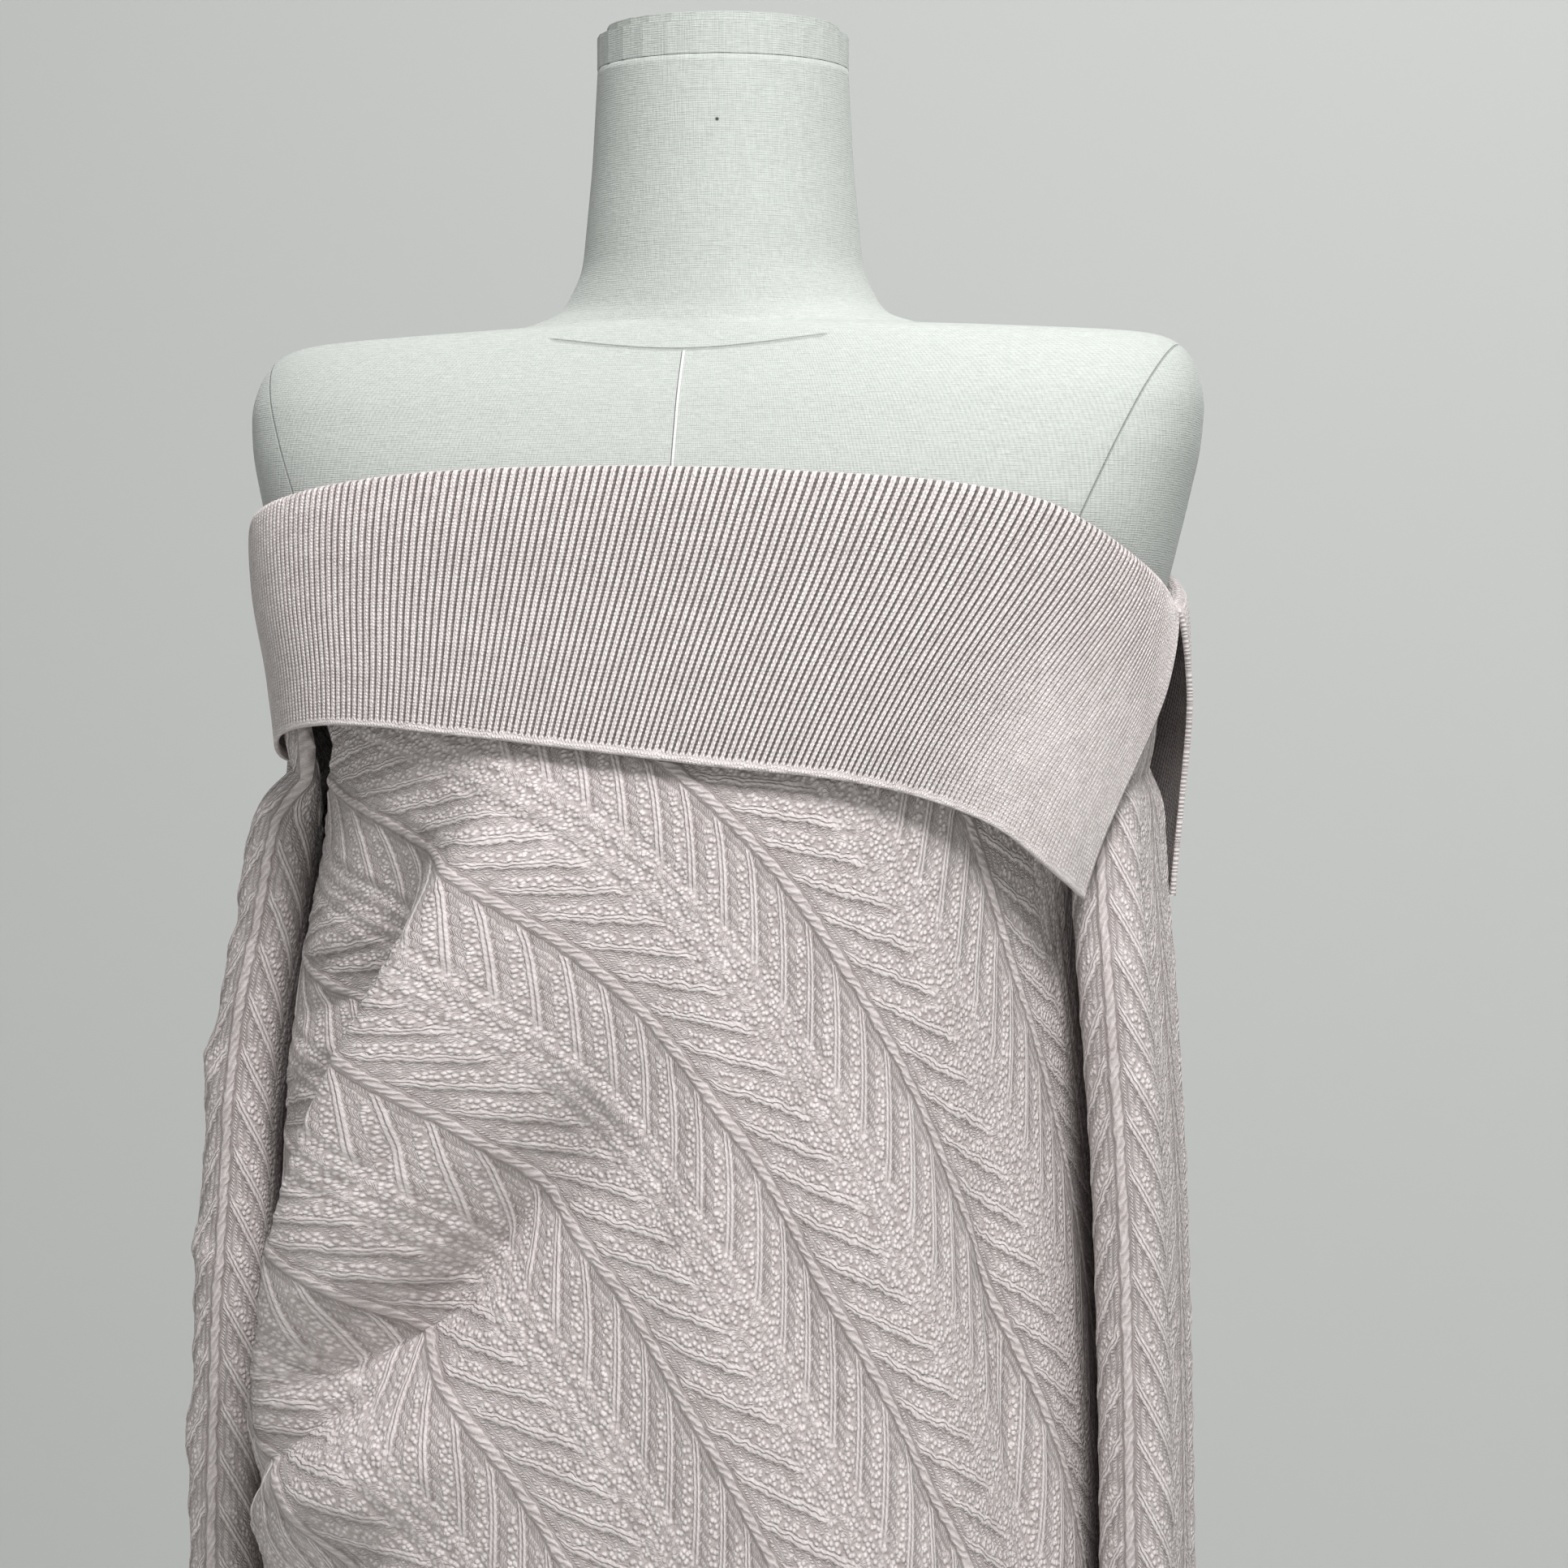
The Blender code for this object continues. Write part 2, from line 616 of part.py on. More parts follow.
def leaf_relief(place, stems, longest):
    """Points, heights and edges of the stems and veins, in the pattern's own measure."""
    marks, lines = [], []
    steps = range(-round(0.35 / VEIN_SPACING), round(longest / VEIN_SPACING))

    def add(stem, offset, along, rise):
        marks.append((stem + offset / STEM_SPACING, along, rise))
        return len(marks) - 1

    for stem in stems:
        crest_before = None
        foot_before = {-1: None, 1: None}
        for step in steps:
            along = step * VEIN_SPACING
            crest = add(stem, 0, along, STEM_RISE)
            if crest_before is not None:
                lines.append((crest_before, crest))
            crest_before = crest
            for side in (-1, 1):
                foot = add(stem, side * STEM_HALF_WIDTH, along, VEIN_RISE)
                end = add(stem, side * VEIN_REACH, along + VEIN_FALL, VEIN_END_RISE)
                add(stem, side * VEIN_REACH, along + VEIN_FALL + VEIN_SPACING / 2, 0)
                lines.append((foot, end))
                if foot_before[side] is not None:
                    lines.append((foot_before[side], foot))
                foot_before[side] = foot
    marks = np.array(marks)
    return place(marks[:, 0], marks[:, 1]), marks[:, 2], lines


def rib_relief(start, end):
    """Points, heights and edges of upright ribs, over the fold and down the flap."""
    count = int((end - start) / (RIB_SPACING / 2))
    points, rises, lines = [], [], []
    for column in range(1, count):
        across = start + (end - start) * column / count
        fans = across_of(FAN_START) < across < across_of(ARMHOLE_ANGLE + 3)
        for row, stop in enumerate(FAN_STOPS if fans else RIB_STOPS):
            points.append((across, -stop))
            rises.append(RIB_RISE if column % 2 else 0.0)
            if row:
                lines.append((len(points) - 2, len(points) - 1))
    return np.array(points), np.array(rises), lines


def triangulated(edge, points, lines):
    """Triangles inside an outline, through the points and along the lines."""
    count = len(edge)
    corners = [tuple(p) for p in np.concatenate([edge, points])]
    links = [(a + count, b + count) for a, b in lines]
    result = delaunay_2d_cdt(corners, links, [list(range(count))], 1, 1e-7)
    verts, _, faces, sources = result[0], result[1], result[2], result[3]
    if any(len(source) != 1 for source in sources):
        raise RuntimeError("two points of a panel fall together or two lines cross")
    order = [source[0] for source in sources]
    flat = np.array([tuple(v) for v in verts])
    return flat, order, [[order[i] for i in face] for face in faces]


def keep_inside(edge, points, rises, lines, margin):
    """The relief that lies well inside the outline."""
    return keep_part(distance_inside(edge, points) > margin, points, rises, lines)


def keep_part(kept, points, rises, lines):
    index = np.cumsum(kept) - 1
    linked = [(index[a], index[b]) for a, b in lines if kept[a] and kept[b]]
    return points[kept], rises[kept], linked


def plain_points(edge, closest=0.008):
    """A staggered grid of points inside an outline."""
    low, high = edge.min(axis=0), edge.max(axis=0)
    counts = np.ceil((high - low) / PLAIN_STEP).astype(int) + 1
    column, row = np.meshgrid(np.arange(counts[0]), np.arange(counts[1]), indexing="ij")
    points = low + PLAIN_STEP * np.stack([column + row % 2 / 2, row], -1).reshape(-1, 2)
    return points[distance_inside(edge, points) > closest]


def hidden_points(edge, closest=0.003):
    """Rows of points on a collar's hidden face."""
    columns = np.arange(edge[:, 0].min(), edge[:, 0].max(), EDGE_STEP)
    points = np.array([(across, path) for path in HIDDEN_STOPS for across in columns])
    return points[distance_inside(edge, points) > closest]


def refined(edge, relief, surface, toward):
    """The relief with more points halfway along sides that would leave the bending cloth. Toward
    is 1 for a wall's outer face and -1 for its inner face."""
    points, rises, lines = relief
    count = len(edge)
    for _ in range(BEND_ROUNDS):
        _, _, faces = triangulated(edge, points, lines)
        faces = np.array(faces)
        sides = np.sort(np.concatenate([faces[:, :2], faces[:, 1:], faces[:, ::2]]), axis=1)
        sides = np.unique(sides, axis=0)
        rim = (sides[:, 1] < count) & (np.isin(sides[:, 1] - sides[:, 0], (1, count - 1)))
        sides = sides[~rim]
        flat = np.concatenate([edge, points])
        rise = np.concatenate([np.zeros(count), rises])
        start, end = flat[sides[:, 0]], flat[sides[:, 1]]
        start_place, end_place = surface(*start.T), surface(*end.T)
        leaves = np.zeros(len(sides), bool)
        for part in (0.25, 0.5, 0.75):
            between = start + (end - start) * part
            chord = start_place + (end_place - start_place) * part
            facing = outward(surface, *between.T)
            cuts_in = ((surface(*between.T) - chord) * facing).sum(axis=1) * toward
            leaves |= (cuts_in > BEND_LIMIT) | (cuts_in < -SLACK_LIMIT[toward])
        middle = (start + end) / 2
        leaves &= distance_inside(edge, middle) > 0.003
        split = {tuple(side): len(points) + k for k, side in enumerate(sides[leaves] - count)}
        points = np.concatenate([points, middle[leaves]])
        rises = np.concatenate([rises, rise[sides[leaves]].mean(axis=1)])
        kept = []
        for start, end in lines:
            halfway = split.get((min(start, end), max(start, end)))
            kept += [(start, end)] if halfway is None else [(start, halfway), (halfway, end)]
        lines = kept
    return points, rises, lines


def wall_mesh(name, surface, edge, relief, ribbed, collection, weld=None):
    """A closed wall between a plain inner face and a raised outer face."""
    thickness = RIB_WALL if ribbed else WALL
    if ribbed:
        points, rises, lines = relief
        inner = hidden_points(edge)
    else:
        points, rises, lines = refined(edge, relief, surface, 1)
        inner = plain_points(edge)
        inner, _, _ = refined(edge, (inner, np.zeros(len(inner)), []), surface, -1)
    count = len(edge)
    _, _, outer_faces = triangulated(edge, points, lines)
    _, _, inner_faces = triangulated(edge, inner, [])

    def lifted(flat, height):
        across, up = flat[:, 0], flat[:, 1]
        place = surface(across, up)
        return place + outward(surface, across, up) * np.reshape(height, (-1, 1))

    outer_height = thickness + np.concatenate([np.zeros(count), rises])
    outer_verts = lifted(np.concatenate([edge, points]), outer_height)
    inner_verts = lifted(np.concatenate([edge, inner]), np.zeros(count + len(inner)))
    mesh = bmesh.new()
    outer = [mesh.verts.new(v) for v in outer_verts]
    inside = [mesh.verts.new(v) for v in inner_verts]
    for face in outer_faces:
        mesh.faces.new([outer[i] for i in face])
    for face in inner_faces:
        mesh.faces.new([inside[i] for i in reversed(face)])
    for here in range(count):
        there = (here + 1) % count
        if weld and weld(edge[here], edge[there]):
            continue
        mesh.faces.new([outer[here], inside[here], inside[there], outer[there]])
    if weld:
        bmesh.ops.remove_doubles(mesh, verts=mesh.verts[:], dist=1e-5)
    return add_object(name, mesh, collection, "rib" if ribbed else "knit")


def add_object(name, mesh, collection, colour):
    bmesh.ops.triangulate(mesh, faces=mesh.faces[:])
    data = bpy.data.meshes.new(name)
    mesh.to_mesh(data)
    mesh.free()
    data.materials.append(plain_material(name, colour))
    obj = bpy.data.objects.new(name, data)
    collection.objects.link(obj)
    for polygon in data.polygons:
        polygon.use_smooth = True
    return obj


def plain_material(name, colour):
    material = bpy.data.materials.new(f"{name}_{colour}")
    material.use_nodes = True
    shader = material.node_tree.nodes["Principled BSDF"]
    shader.inputs["Base Color"].default_value = (*COLOURS[colour], 1)
    shader.inputs["Roughness"].default_value = 0.35 if colour == "metal" else 0.9
    shader.inputs["Metallic"].default_value = 1.0 if colour == "metal" else 0.0
    return material


def across_of(angle):
    return math.radians(angle) * SPREAD


def armhole_line(side, toward):
    """The armhole's edge from the underarm to the neckline, on the front (-1) or back (1)."""
    shares = toward * side * np.append(np.linspace(1, 0.5001, 40), 0.5)
    angle, height = armhole_point(shares, side)
    line = np.stack([np.radians(angle) * SPREAD, height], -1)
    run = np.gradient(line, axis=0)
    inward = np.stack([-run[:, 1], run[:, 0]], -1) / np.linalg.norm(run, axis=1)[:, None]
    return line - side * toward * SEAM_ASIDE * inward


def front_outline():
    left, right = across_of(-90) + GAP, across_of(90) - GAP
    right_arm = [(min(x, right), z) for x, z in armhole_line(1, -1)]
    left_arm = [(max(x, left), z) for x, z in armhole_line(-1, -1)][::-1]
    top = [
        (across_of(a), float(neckline_height(np.float64(a))) - GAP) for a in np.linspace(50, -50, 40)
    ]
    return outline(
        [
            [(left, HEM_HEIGHT), (right, HEM_HEIGHT)],
            [(right, HEM_HEIGHT), *right_arm],
            [right_arm[-1], *top[1:-1], left_arm[0]],
            [*left_arm, (left, HEM_HEIGHT)],
        ]
    )


def back_outline():
    near, far = across_of(90) + GAP, across_of(270) - GAP
    near_arm = [(max(x, near), z) for x, z in armhole_line(1, 1)]
    turned = 2 * math.pi * SPREAD
    far_arm = [(min(x + turned, far), z) for x, z in armhole_line(-1, 1)][::-1]
    top = [
        (across_of(a), float(neckline_height(np.float64(a))) - GAP)
        for a in np.linspace(130, 230, 36)
    ]
    return outline(
        [
            [(far, HEM_HEIGHT), *far_arm[::-1]],
            [far_arm[0], *top[::-1][1:-1], near_arm[-1]],
            [*near_arm[::-1], (near, HEM_HEIGHT)],
            [(near, HEM_HEIGHT), (far, HEM_HEIGHT)],
        ]
    )


def sleeve_outline(side):
    half = SLEEVE_ROUND / 2
    beside = np.linspace(1, 0.5001, 40)
    shares = np.concatenate([beside, np.linspace(0.5, -0.5, 40), -beside[::-1]])
    _, heights = armhole_point(shares, side)
    top = list(zip(shares * half, heights))
    seam = resampled([(half, CUFF_HEIGHT), top[0]], EDGE_STEP)
    mirrored = seam[::-1] * (-1, 1)
    return np.concatenate(
        [
            resampled([(-half, CUFF_HEIGHT), (half, CUFF_HEIGHT)], EDGE_STEP)[:-1],
            seam[:-1],
            resampled(top, EDGE_STEP / 2)[:-1],
            mirrored[:-1],
        ]
    )


def on_sleeve_seam(here, there):
    half = SLEEVE_ROUND / 2
    return abs(abs(here[0]) - half) < 1e-9 and abs(here[0] - there[0]) < 1e-9


def leaf_knit(edge, surface, place, stems, longest, covered):
    """The leaf relief of one piece, where nothing lies over it."""
    points, rises, lines = leaf_relief(place, stems, longest)
    points, rises, lines = keep_inside(edge, points, rises, lines, RELIEF_MARGIN)
    return keep_part(~covered(surface(*points.T)), points, rises, lines)


def add_body(collection):
    panels = (
        ("front_body", front_outline(), front_place, range(-2, 7)),
        ("back_body", back_outline(), back_place, range(-4, 5)),
    )
    for name, edge, place, stems in panels:
        relief = leaf_knit(edge, body_surface, place, stems, 0.75, covered_on_body)
        wall_mesh(name, body_surface, edge, relief, False, collection)


def add_sleeves(collection):
    for name, side in (("left", -1), ("right", 1)):
        edge = sleeve_outline(side)
        surface = sleeve_surface(name)
        relief = leaf_knit(edge, surface, sleeve_place, range(-2, 3), 0.50, covered_on_sleeve)
        wall_mesh(f"sleeve_{name}", surface, edge, relief, False, collection, on_sleeve_seam)


def add_collar(collection):
    for name in ("front", "back"):
        start = across_of(FLAPS[name]["fold_angle"][0])
        end = across_of(FLAPS[name]["fold_angle"][-1])
        folds = (-0.009, -0.002, 0.001, 0.005)
        corners = [(start, -FLAP_PATH), (end, -FLAP_PATH), *((end, path) for path in folds)]
        corners += [(end, LEG_PATH), (start, LEG_PATH), *((start, path) for path in folds[::-1])]
        edge = outline(list(zip(corners, corners[1:] + corners[:1])))
        ribs = rib_relief(start, end)
        surface = flap_surface(name)
        wall_mesh(f"collar_{name}", surface, edge, ribs, True, collection)


def add_form(collection):
    """The torso and neck: a loft of squared ovals, closed at both ends."""
    sides = 22
    angles = np.linspace(0, 2 * math.pi, sides, endpoint=False)
    mesh = bmesh.new()
    rings = []
    for row in range(len(FORM["height"])):
        size = {name: column[row] for name, column in FORM.items()}
        x, y = oval_point(
            angles, size["width"], size["width"], size["front"], size["back"], size["square"]
        )
        rings.append([mesh.verts.new((a, b, size["height"])) for a, b in zip(x, y)])
    for low, high in zip(rings, rings[1:]):
        for here in range(sides):
            there = (here + 1) % sides
            mesh.faces.new([low[here], low[there], high[there], high[here]])
    mesh.faces.new(rings[0][::-1])
    mesh.faces.new(rings[-1])
    add_object("dress_form", mesh, collection, "linen")


def add_disc(name, radius, bottom, top, rounding, collection, colour):
    """A round piece with rounded edges."""
    mesh = bmesh.new()
    bmesh.ops.create_cone(
        mesh, cap_ends=True, segments=28, radius1=radius, radius2=radius, depth=top - bottom
    )
    bmesh.ops.translate(mesh, verts=mesh.verts[:], vec=(0, 0, (top + bottom) / 2))
    if rounding:
        rim = [e for e in mesh.edges if all(v.co.z > (top + bottom) / 2 for v in e.verts)]
        bmesh.ops.bevel(mesh, geom=rim, offset=rounding, segments=2, affect="EDGES")
    add_object(name, mesh, collection, colour)


def main():
    for obj in list(bpy.data.objects):
        bpy.data.objects.remove(obj, do_unlink=True)
    collection = bpy.data.collections.new(COLLECTION)
    bpy.context.scene.collection.children.link(collection)
    neck_top = FORM["height"][-1]
    add_form(collection)
    add_disc(
        "neck_cap",
        CAP_RADIUS,
        neck_top + GAP,
        neck_top + GAP + CAP_HEIGHT,
        CAP_ROUNDING,
        collection,
        "linen",
    )
    add_disc(
        "stand_post", POST_RADIUS, BASE_THICKNESS + GAP, FORM_BOTTOM - GAP, 0, collection, "metal"
    )
    add_disc("stand_base", BASE_RADIUS, 0, BASE_THICKNESS, 0.003, collection, "metal")
    add_body(collection)
    add_sleeves(collection)
    add_collar(collection)


main()
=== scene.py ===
"""The looks of a cable knit sweater on a dress form, laid out as a Blender add-on.

Metres, +Z up, the front faces -Y. Angles round the body run from the front (0) over +X (90) to the
back (180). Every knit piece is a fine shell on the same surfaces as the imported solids.
"""

import math

import bmesh
import bpy
import numpy as np
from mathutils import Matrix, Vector


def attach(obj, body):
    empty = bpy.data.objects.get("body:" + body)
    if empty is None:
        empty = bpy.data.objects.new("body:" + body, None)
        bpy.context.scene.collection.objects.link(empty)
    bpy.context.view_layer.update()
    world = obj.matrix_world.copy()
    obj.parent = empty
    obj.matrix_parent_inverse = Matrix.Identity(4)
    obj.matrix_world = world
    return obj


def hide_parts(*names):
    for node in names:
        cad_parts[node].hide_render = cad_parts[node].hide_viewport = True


bl_info = {
    "name": "Cable knit sweater on a dress form",
    "version": (1, 0, 0),
    "blender": (4, 5, 0),
    "location": "3D View > Sidebar > Sweater",
    "description": "Builds a folded-collar knit sweater, its dress form and a plain studio",
    "category": "Add Mesh",
}

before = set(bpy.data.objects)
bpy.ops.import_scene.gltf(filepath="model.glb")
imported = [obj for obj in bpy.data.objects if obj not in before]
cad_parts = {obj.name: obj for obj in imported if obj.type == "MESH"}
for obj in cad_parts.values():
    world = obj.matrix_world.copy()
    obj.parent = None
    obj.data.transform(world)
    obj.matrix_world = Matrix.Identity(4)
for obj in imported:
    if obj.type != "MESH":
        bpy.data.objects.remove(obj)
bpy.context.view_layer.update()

# The cloth. Spread is the metres of cloth across for each radian round the body
SPREAD = 0.16
WALL = 0.0024
RIB_WALL = 0.0018
HEM_HEIGHT = 0.275
CUFF_HEIGHT = 0.205
UNDERARM_HEIGHT = 0.605
GAP = 0.0003
HEM_BAND = 0.010
HEM_RISE = 0.0006
FOLD_END = 0.022
FOLD_LOW = 0.15
BACK_CELL = 1.15
SLEEVE_CELL = 0.95
NORMAL_STEP = 0.0008
RIB_NORMAL_STEP = 0.0002
CORNER_STEP = 0.0001

# The leaf pattern: upright stems with slanted veins on both sides
STEM_SPACING = 0.080
STEM_HALF_WIDTH = 0.0034
VEIN_REACH = 0.026
VEIN_FALL = 0.040
VEIN_CURVE = 0.8
VEIN_SLANT = 0.53
VEIN_HALF_WIDTH = 0.0016
VEIN_GROOVE = (0.24, 0.0014, 0.45)
BAND_SPACING = 0.009
BAND_CREST = 0.0265
BAND_RISE = 0.0005
STEM_LEAN = 0.48
STEM_START = 0.030
STEM_STEP = 0.074
HOOK_START = -3.1
HOOK_GROWTH = 1.3
HOOK_FADE = 20.0
PATTERN_TOP = 0.672
PATTERN_SHIFT = -0.024

# The collar
ROLL_HALF = 0.0008
LEG_PATH = 0.020
FLAP_PATH = 0.110
EARLY_LIFT = 0.010
CAST_OFF = 0.0026
RIB_CELLS = 6

# The sleeves
SLEEVE_ROUND = 0.236
SLEEVE_HANG = {"right": (0.710, 0.655), "left": (0.704, 0.650)}
SLEEVE_INNER = 0.0068
SLEEVE_OUTER = 0.0120
SLEEVE_SPREAD = 0.062
ARMHOLE_STRAIGHT = 0.50
FOLD_DEPTH = 0.042
ARMHOLE_ANGLE = 90.0
ARMHOLE_HALF_TOP = 34.0
SLEEVE_STEMS = 4

# The dress form's seams and pin holes
NECK_SEAM_HEIGHT = 0.8545
NECK_SEAM_DROOP = 0.015
NECK_SEAM_REACH = 0.086
ARM_SEAM_LEAN = 0.42
ARM_SEAM_SIDE = 0.163 - ARM_SEAM_LEAN * 0.782
ARM_SEAM_TOP = 0.846
SEAM_STITCH = 0.0030
LINEN_REACH = 0.09
SEAM_DARK = (0.20, 0.21, 0.19, 1.0)
SEAM_PALE = (0.95, 0.96, 0.94, 1.0)
PIN_DARK = (0.05, 0.05, 0.05, 1.0)
PINS = (
    (0.0095, -0.0525, 0.9330),
    (0.0013, -0.0690, 0.8240),
    (-0.0880, -0.0790, 0.8040),
    (-0.1540, -0.0560, 0.8250),
)
PROFILE_SPACING = 0.0025
PROFILE_ROUNDING = 0.0045
STAND_COLOUR = (0.72, 0.72, 0.70)

# The studio: each light's name, place, aim, size and power
STAGE_SIZE = 8
SENSOR_WIDTH = 36.0
LIGHTS = (
    ("key", (0.75, -1.3, 2.35), (0, 0, 0.52), 0.7, 59),
    ("fill", (-0.6, -2.6, 0.9), (0, 0, 0.6), 1.6, 6),
    ("top", (0.1, 0.2, 2.4), (0, 0, 0.7), 1.4, 8),
)


def table(columns, rows):
    """A table's columns as arrays, by their names."""
    return dict(zip(columns.split(), np.array(rows, float).T))


FORM = table(
    "height width front back square",
    (
        (0.1300, 0.1380, 0.0900, 0.0940, 2.4),
        (0.1480, 0.1460, 0.0980, 0.1020, 2.4),
        (0.2500, 0.1490, 0.1040, 0.1060, 2.3),
        (0.3500, 0.1380, 0.0950, 0.0900, 2.2),
        (0.4500, 0.1200, 0.0850, 0.0720, 2.2),
        (0.5200, 0.1270, 0.0920, 0.0780, 2.2),
        (0.6050, 0.1450, 0.1170, 0.0900, 2.2),
        (0.6600, 0.1530, 0.1180, 0.0950, 2.3),
        (0.7060, 0.1680, 0.1090, 0.0960, 2.5),
        (0.7420, 0.1805, 0.1000, 0.0930, 2.7),
        (0.7760, 0.1890, 0.0940, 0.0875, 2.9),
        (0.8020, 0.1955, 0.0860, 0.0800, 2.9),
        (0.8220, 0.1980, 0.0790, 0.0720, 2.7),
        (0.8360, 0.1950, 0.0715, 0.0665, 2.4),
        (0.8445, 0.1895, 0.0665, 0.0635, 2.1),
        (0.8485, 0.1800, 0.0640, 0.0615, 1.9),
        (0.8505, 0.1450, 0.0630, 0.0605, 1.8),
        (0.8525, 0.0900, 0.0620, 0.0600, 1.8),
        (0.8590, 0.0670, 0.0597, 0.0590, 2.0),
        (0.8760, 0.0578, 0.0573, 0.0573, 2.0),
        (0.9200, 0.0536, 0.0536, 0.0536, 2.0),
        (0.9595, 0.0515, 0.0515, 0.0515, 2.0),
    ),
)

BODY = table(
    "height left right front back square",
    (
        (0.2000, 0.1810, 0.1550, 0.1260, 0.1240, 2.4),
        (0.2750, 0.1825, 0.1550, 0.1290, 0.1230, 2.5),
        (0.3500, 0.1830, 0.1550, 0.1310, 0.1160, 2.6),
        (0.4300, 0.1830, 0.1530, 0.1300, 0.1120, 2.5),
        (0.5000, 0.1800, 0.1505, 0.1290, 0.1100, 2.4),
        (0.5600, 0.1760, 0.1490, 0.1275, 0.1080, 2.3),
        (0.6050, 0.1690, 0.1490, 0.1260, 0.1030, 2.25),
        (0.6600, 0.1600, 0.1560, 0.1225, 0.1010, 2.35),
        (0.7060, 0.1705, 0.1705, 0.1120, 0.0990, 2.5),
        (0.7420, 0.1830, 0.1830, 0.1025, 0.0955, 2.7),
        (0.7760, 0.1915, 0.1915, 0.0965, 0.0900, 2.9),
        (0.8020, 0.1980, 0.1980, 0.0885, 0.0825, 2.9),
    ),
)

SLEEVES = {
    "right": table(
        "height x y thick deep",
        (
            (0.2050, 0.1775, -0.007, 0.0115, 0.0515),
            (0.3500, 0.1775, -0.008, 0.0115, 0.0515),
            (0.4550, 0.1760, -0.008, 0.0115, 0.0515),
            (0.5200, 0.1737, -0.009, 0.0115, 0.0515),
            (0.5550, 0.1713, -0.008, 0.0115, 0.0520),
            (0.5900, 0.1686, -0.007, 0.0115, 0.0520),
            (0.6200, 0.1655, -0.003, 0.0115, 0.0500),
            (0.6560, 0.1630, 0.002, 0.0115, 0.0470),
            (0.6890, 0.1610, 0.005, 0.0115, 0.0460),
        ),
    ),
    "left": table(
        "height x y thick deep",
        (
            (0.2050, 0.2065, 0.018, 0.0115, 0.0540),
            (0.4000, 0.2065, 0.017, 0.0115, 0.0540),
            (0.4550, 0.2045, 0.016, 0.0115, 0.0540),
            (0.5000, 0.2010, 0.015, 0.0115, 0.0540),
            (0.5457, 0.1980, 0.014, 0.0115, 0.0540),
            (0.5790, 0.1930, 0.013, 0.0115, 0.0540),
            (0.6120, 0.1855, 0.012, 0.0115, 0.0540),
            (0.6420, 0.1795, 0.010, 0.0115, 0.0540),
            (0.6657, 0.1715, 0.006, 0.0115, 0.0545),
            (0.6790, 0.1632, 0.003, 0.0115, 0.0545),
        ),
    ),
}

# Height of the collar's folded edge, and how much of the collar lies behind it
FOLD_LINE = table(
    "angle height leg",
    (
        (-94, 0.7500, 0.003),
        (-74, 0.7610, 0.009),
        (-60, 0.7750, 0.014),
        (-47, 0.7820, 0.018),
        (-31, 0.7880, 0.020),
        (-10, 0.7900, 0.020),
        (15, 0.7870, 0.020),
        (35, 0.7805, 0.018),
        (43, 0.7750, 0.016),
        (50, 0.7665, 0.014),
        (58, 0.7570, 0.011),
        (75, 0.7440, 0.007),
        (94, 0.7370, 0.003),
        (112, 0.7470, 0.008),
        (130, 0.7590, 0.014),
        (150, 0.7690, 0.020),
        (180, 0.7740, 0.020),
        (210, 0.7740, 0.020),
        (230, 0.7700, 0.016),
        (250, 0.7600, 0.008),
        (266, 0.7500, 0.003),
    ),
)

FLAPS = {
    "front": table(
        "fold_angle hem_angle hem_height stand early",
        (
            (-93, -96, 0.6740, 0.0205, 0.0),
            (-74, -77, 0.6780, 0.0190, 0.0),
            (-58, -62, 0.6860, 0.0185, 0.0),
            (-42, -47, 0.6895, 0.0160, 0.0),
            (-20, -27, 0.6850, 0.0080, 0.0),
            (-4, -12, 0.6800, 0.0075, 0.0),
            (18, 9, 0.6727, 0.0075, 0.0),
            (38, 27, 0.6670, 0.0085, 0.1),
            (52, 38, 0.6600, 0.0100, 0.3),
            (66, 48, 0.6490, 0.0160, 0.5),
            (79, 57, 0.6330, 0.0200, 0.6),
            (93, 64, 0.6215, 0.0220, 0.8),
        ),
    ),
    "back": table(
        "fold_angle hem_angle hem_height stand early",
        (
            (95, 111, 0.6200, 0.0380, 0.6),
            (108, 119, 0.6280, 0.0350, 0.5),
            (122, 129, 0.6400, 0.0290, 0.3),
            (140, 144, 0.6520, 0.0170, 0.0),
            (160, 163, 0.6600, 0.0100, 0.0),
            (180, 182, 0.6640, 0.0085, 0.0),
            (200, 202, 0.6660, 0.0085, 0.0),
            (220, 223, 0.6660, 0.0160, 0.0),
            (238, 242, 0.6650, 0.0290, 0.0),
            (252, 254, 0.6640, 0.0330, 0.0),
            (265, 263, 0.6630, 0.0320, 0.0),
        ),
    ),
}

# The columns that say where a fold starts and ends
FOLD_PLACES = ("start_across", "start_height", "end_across", "end_height")

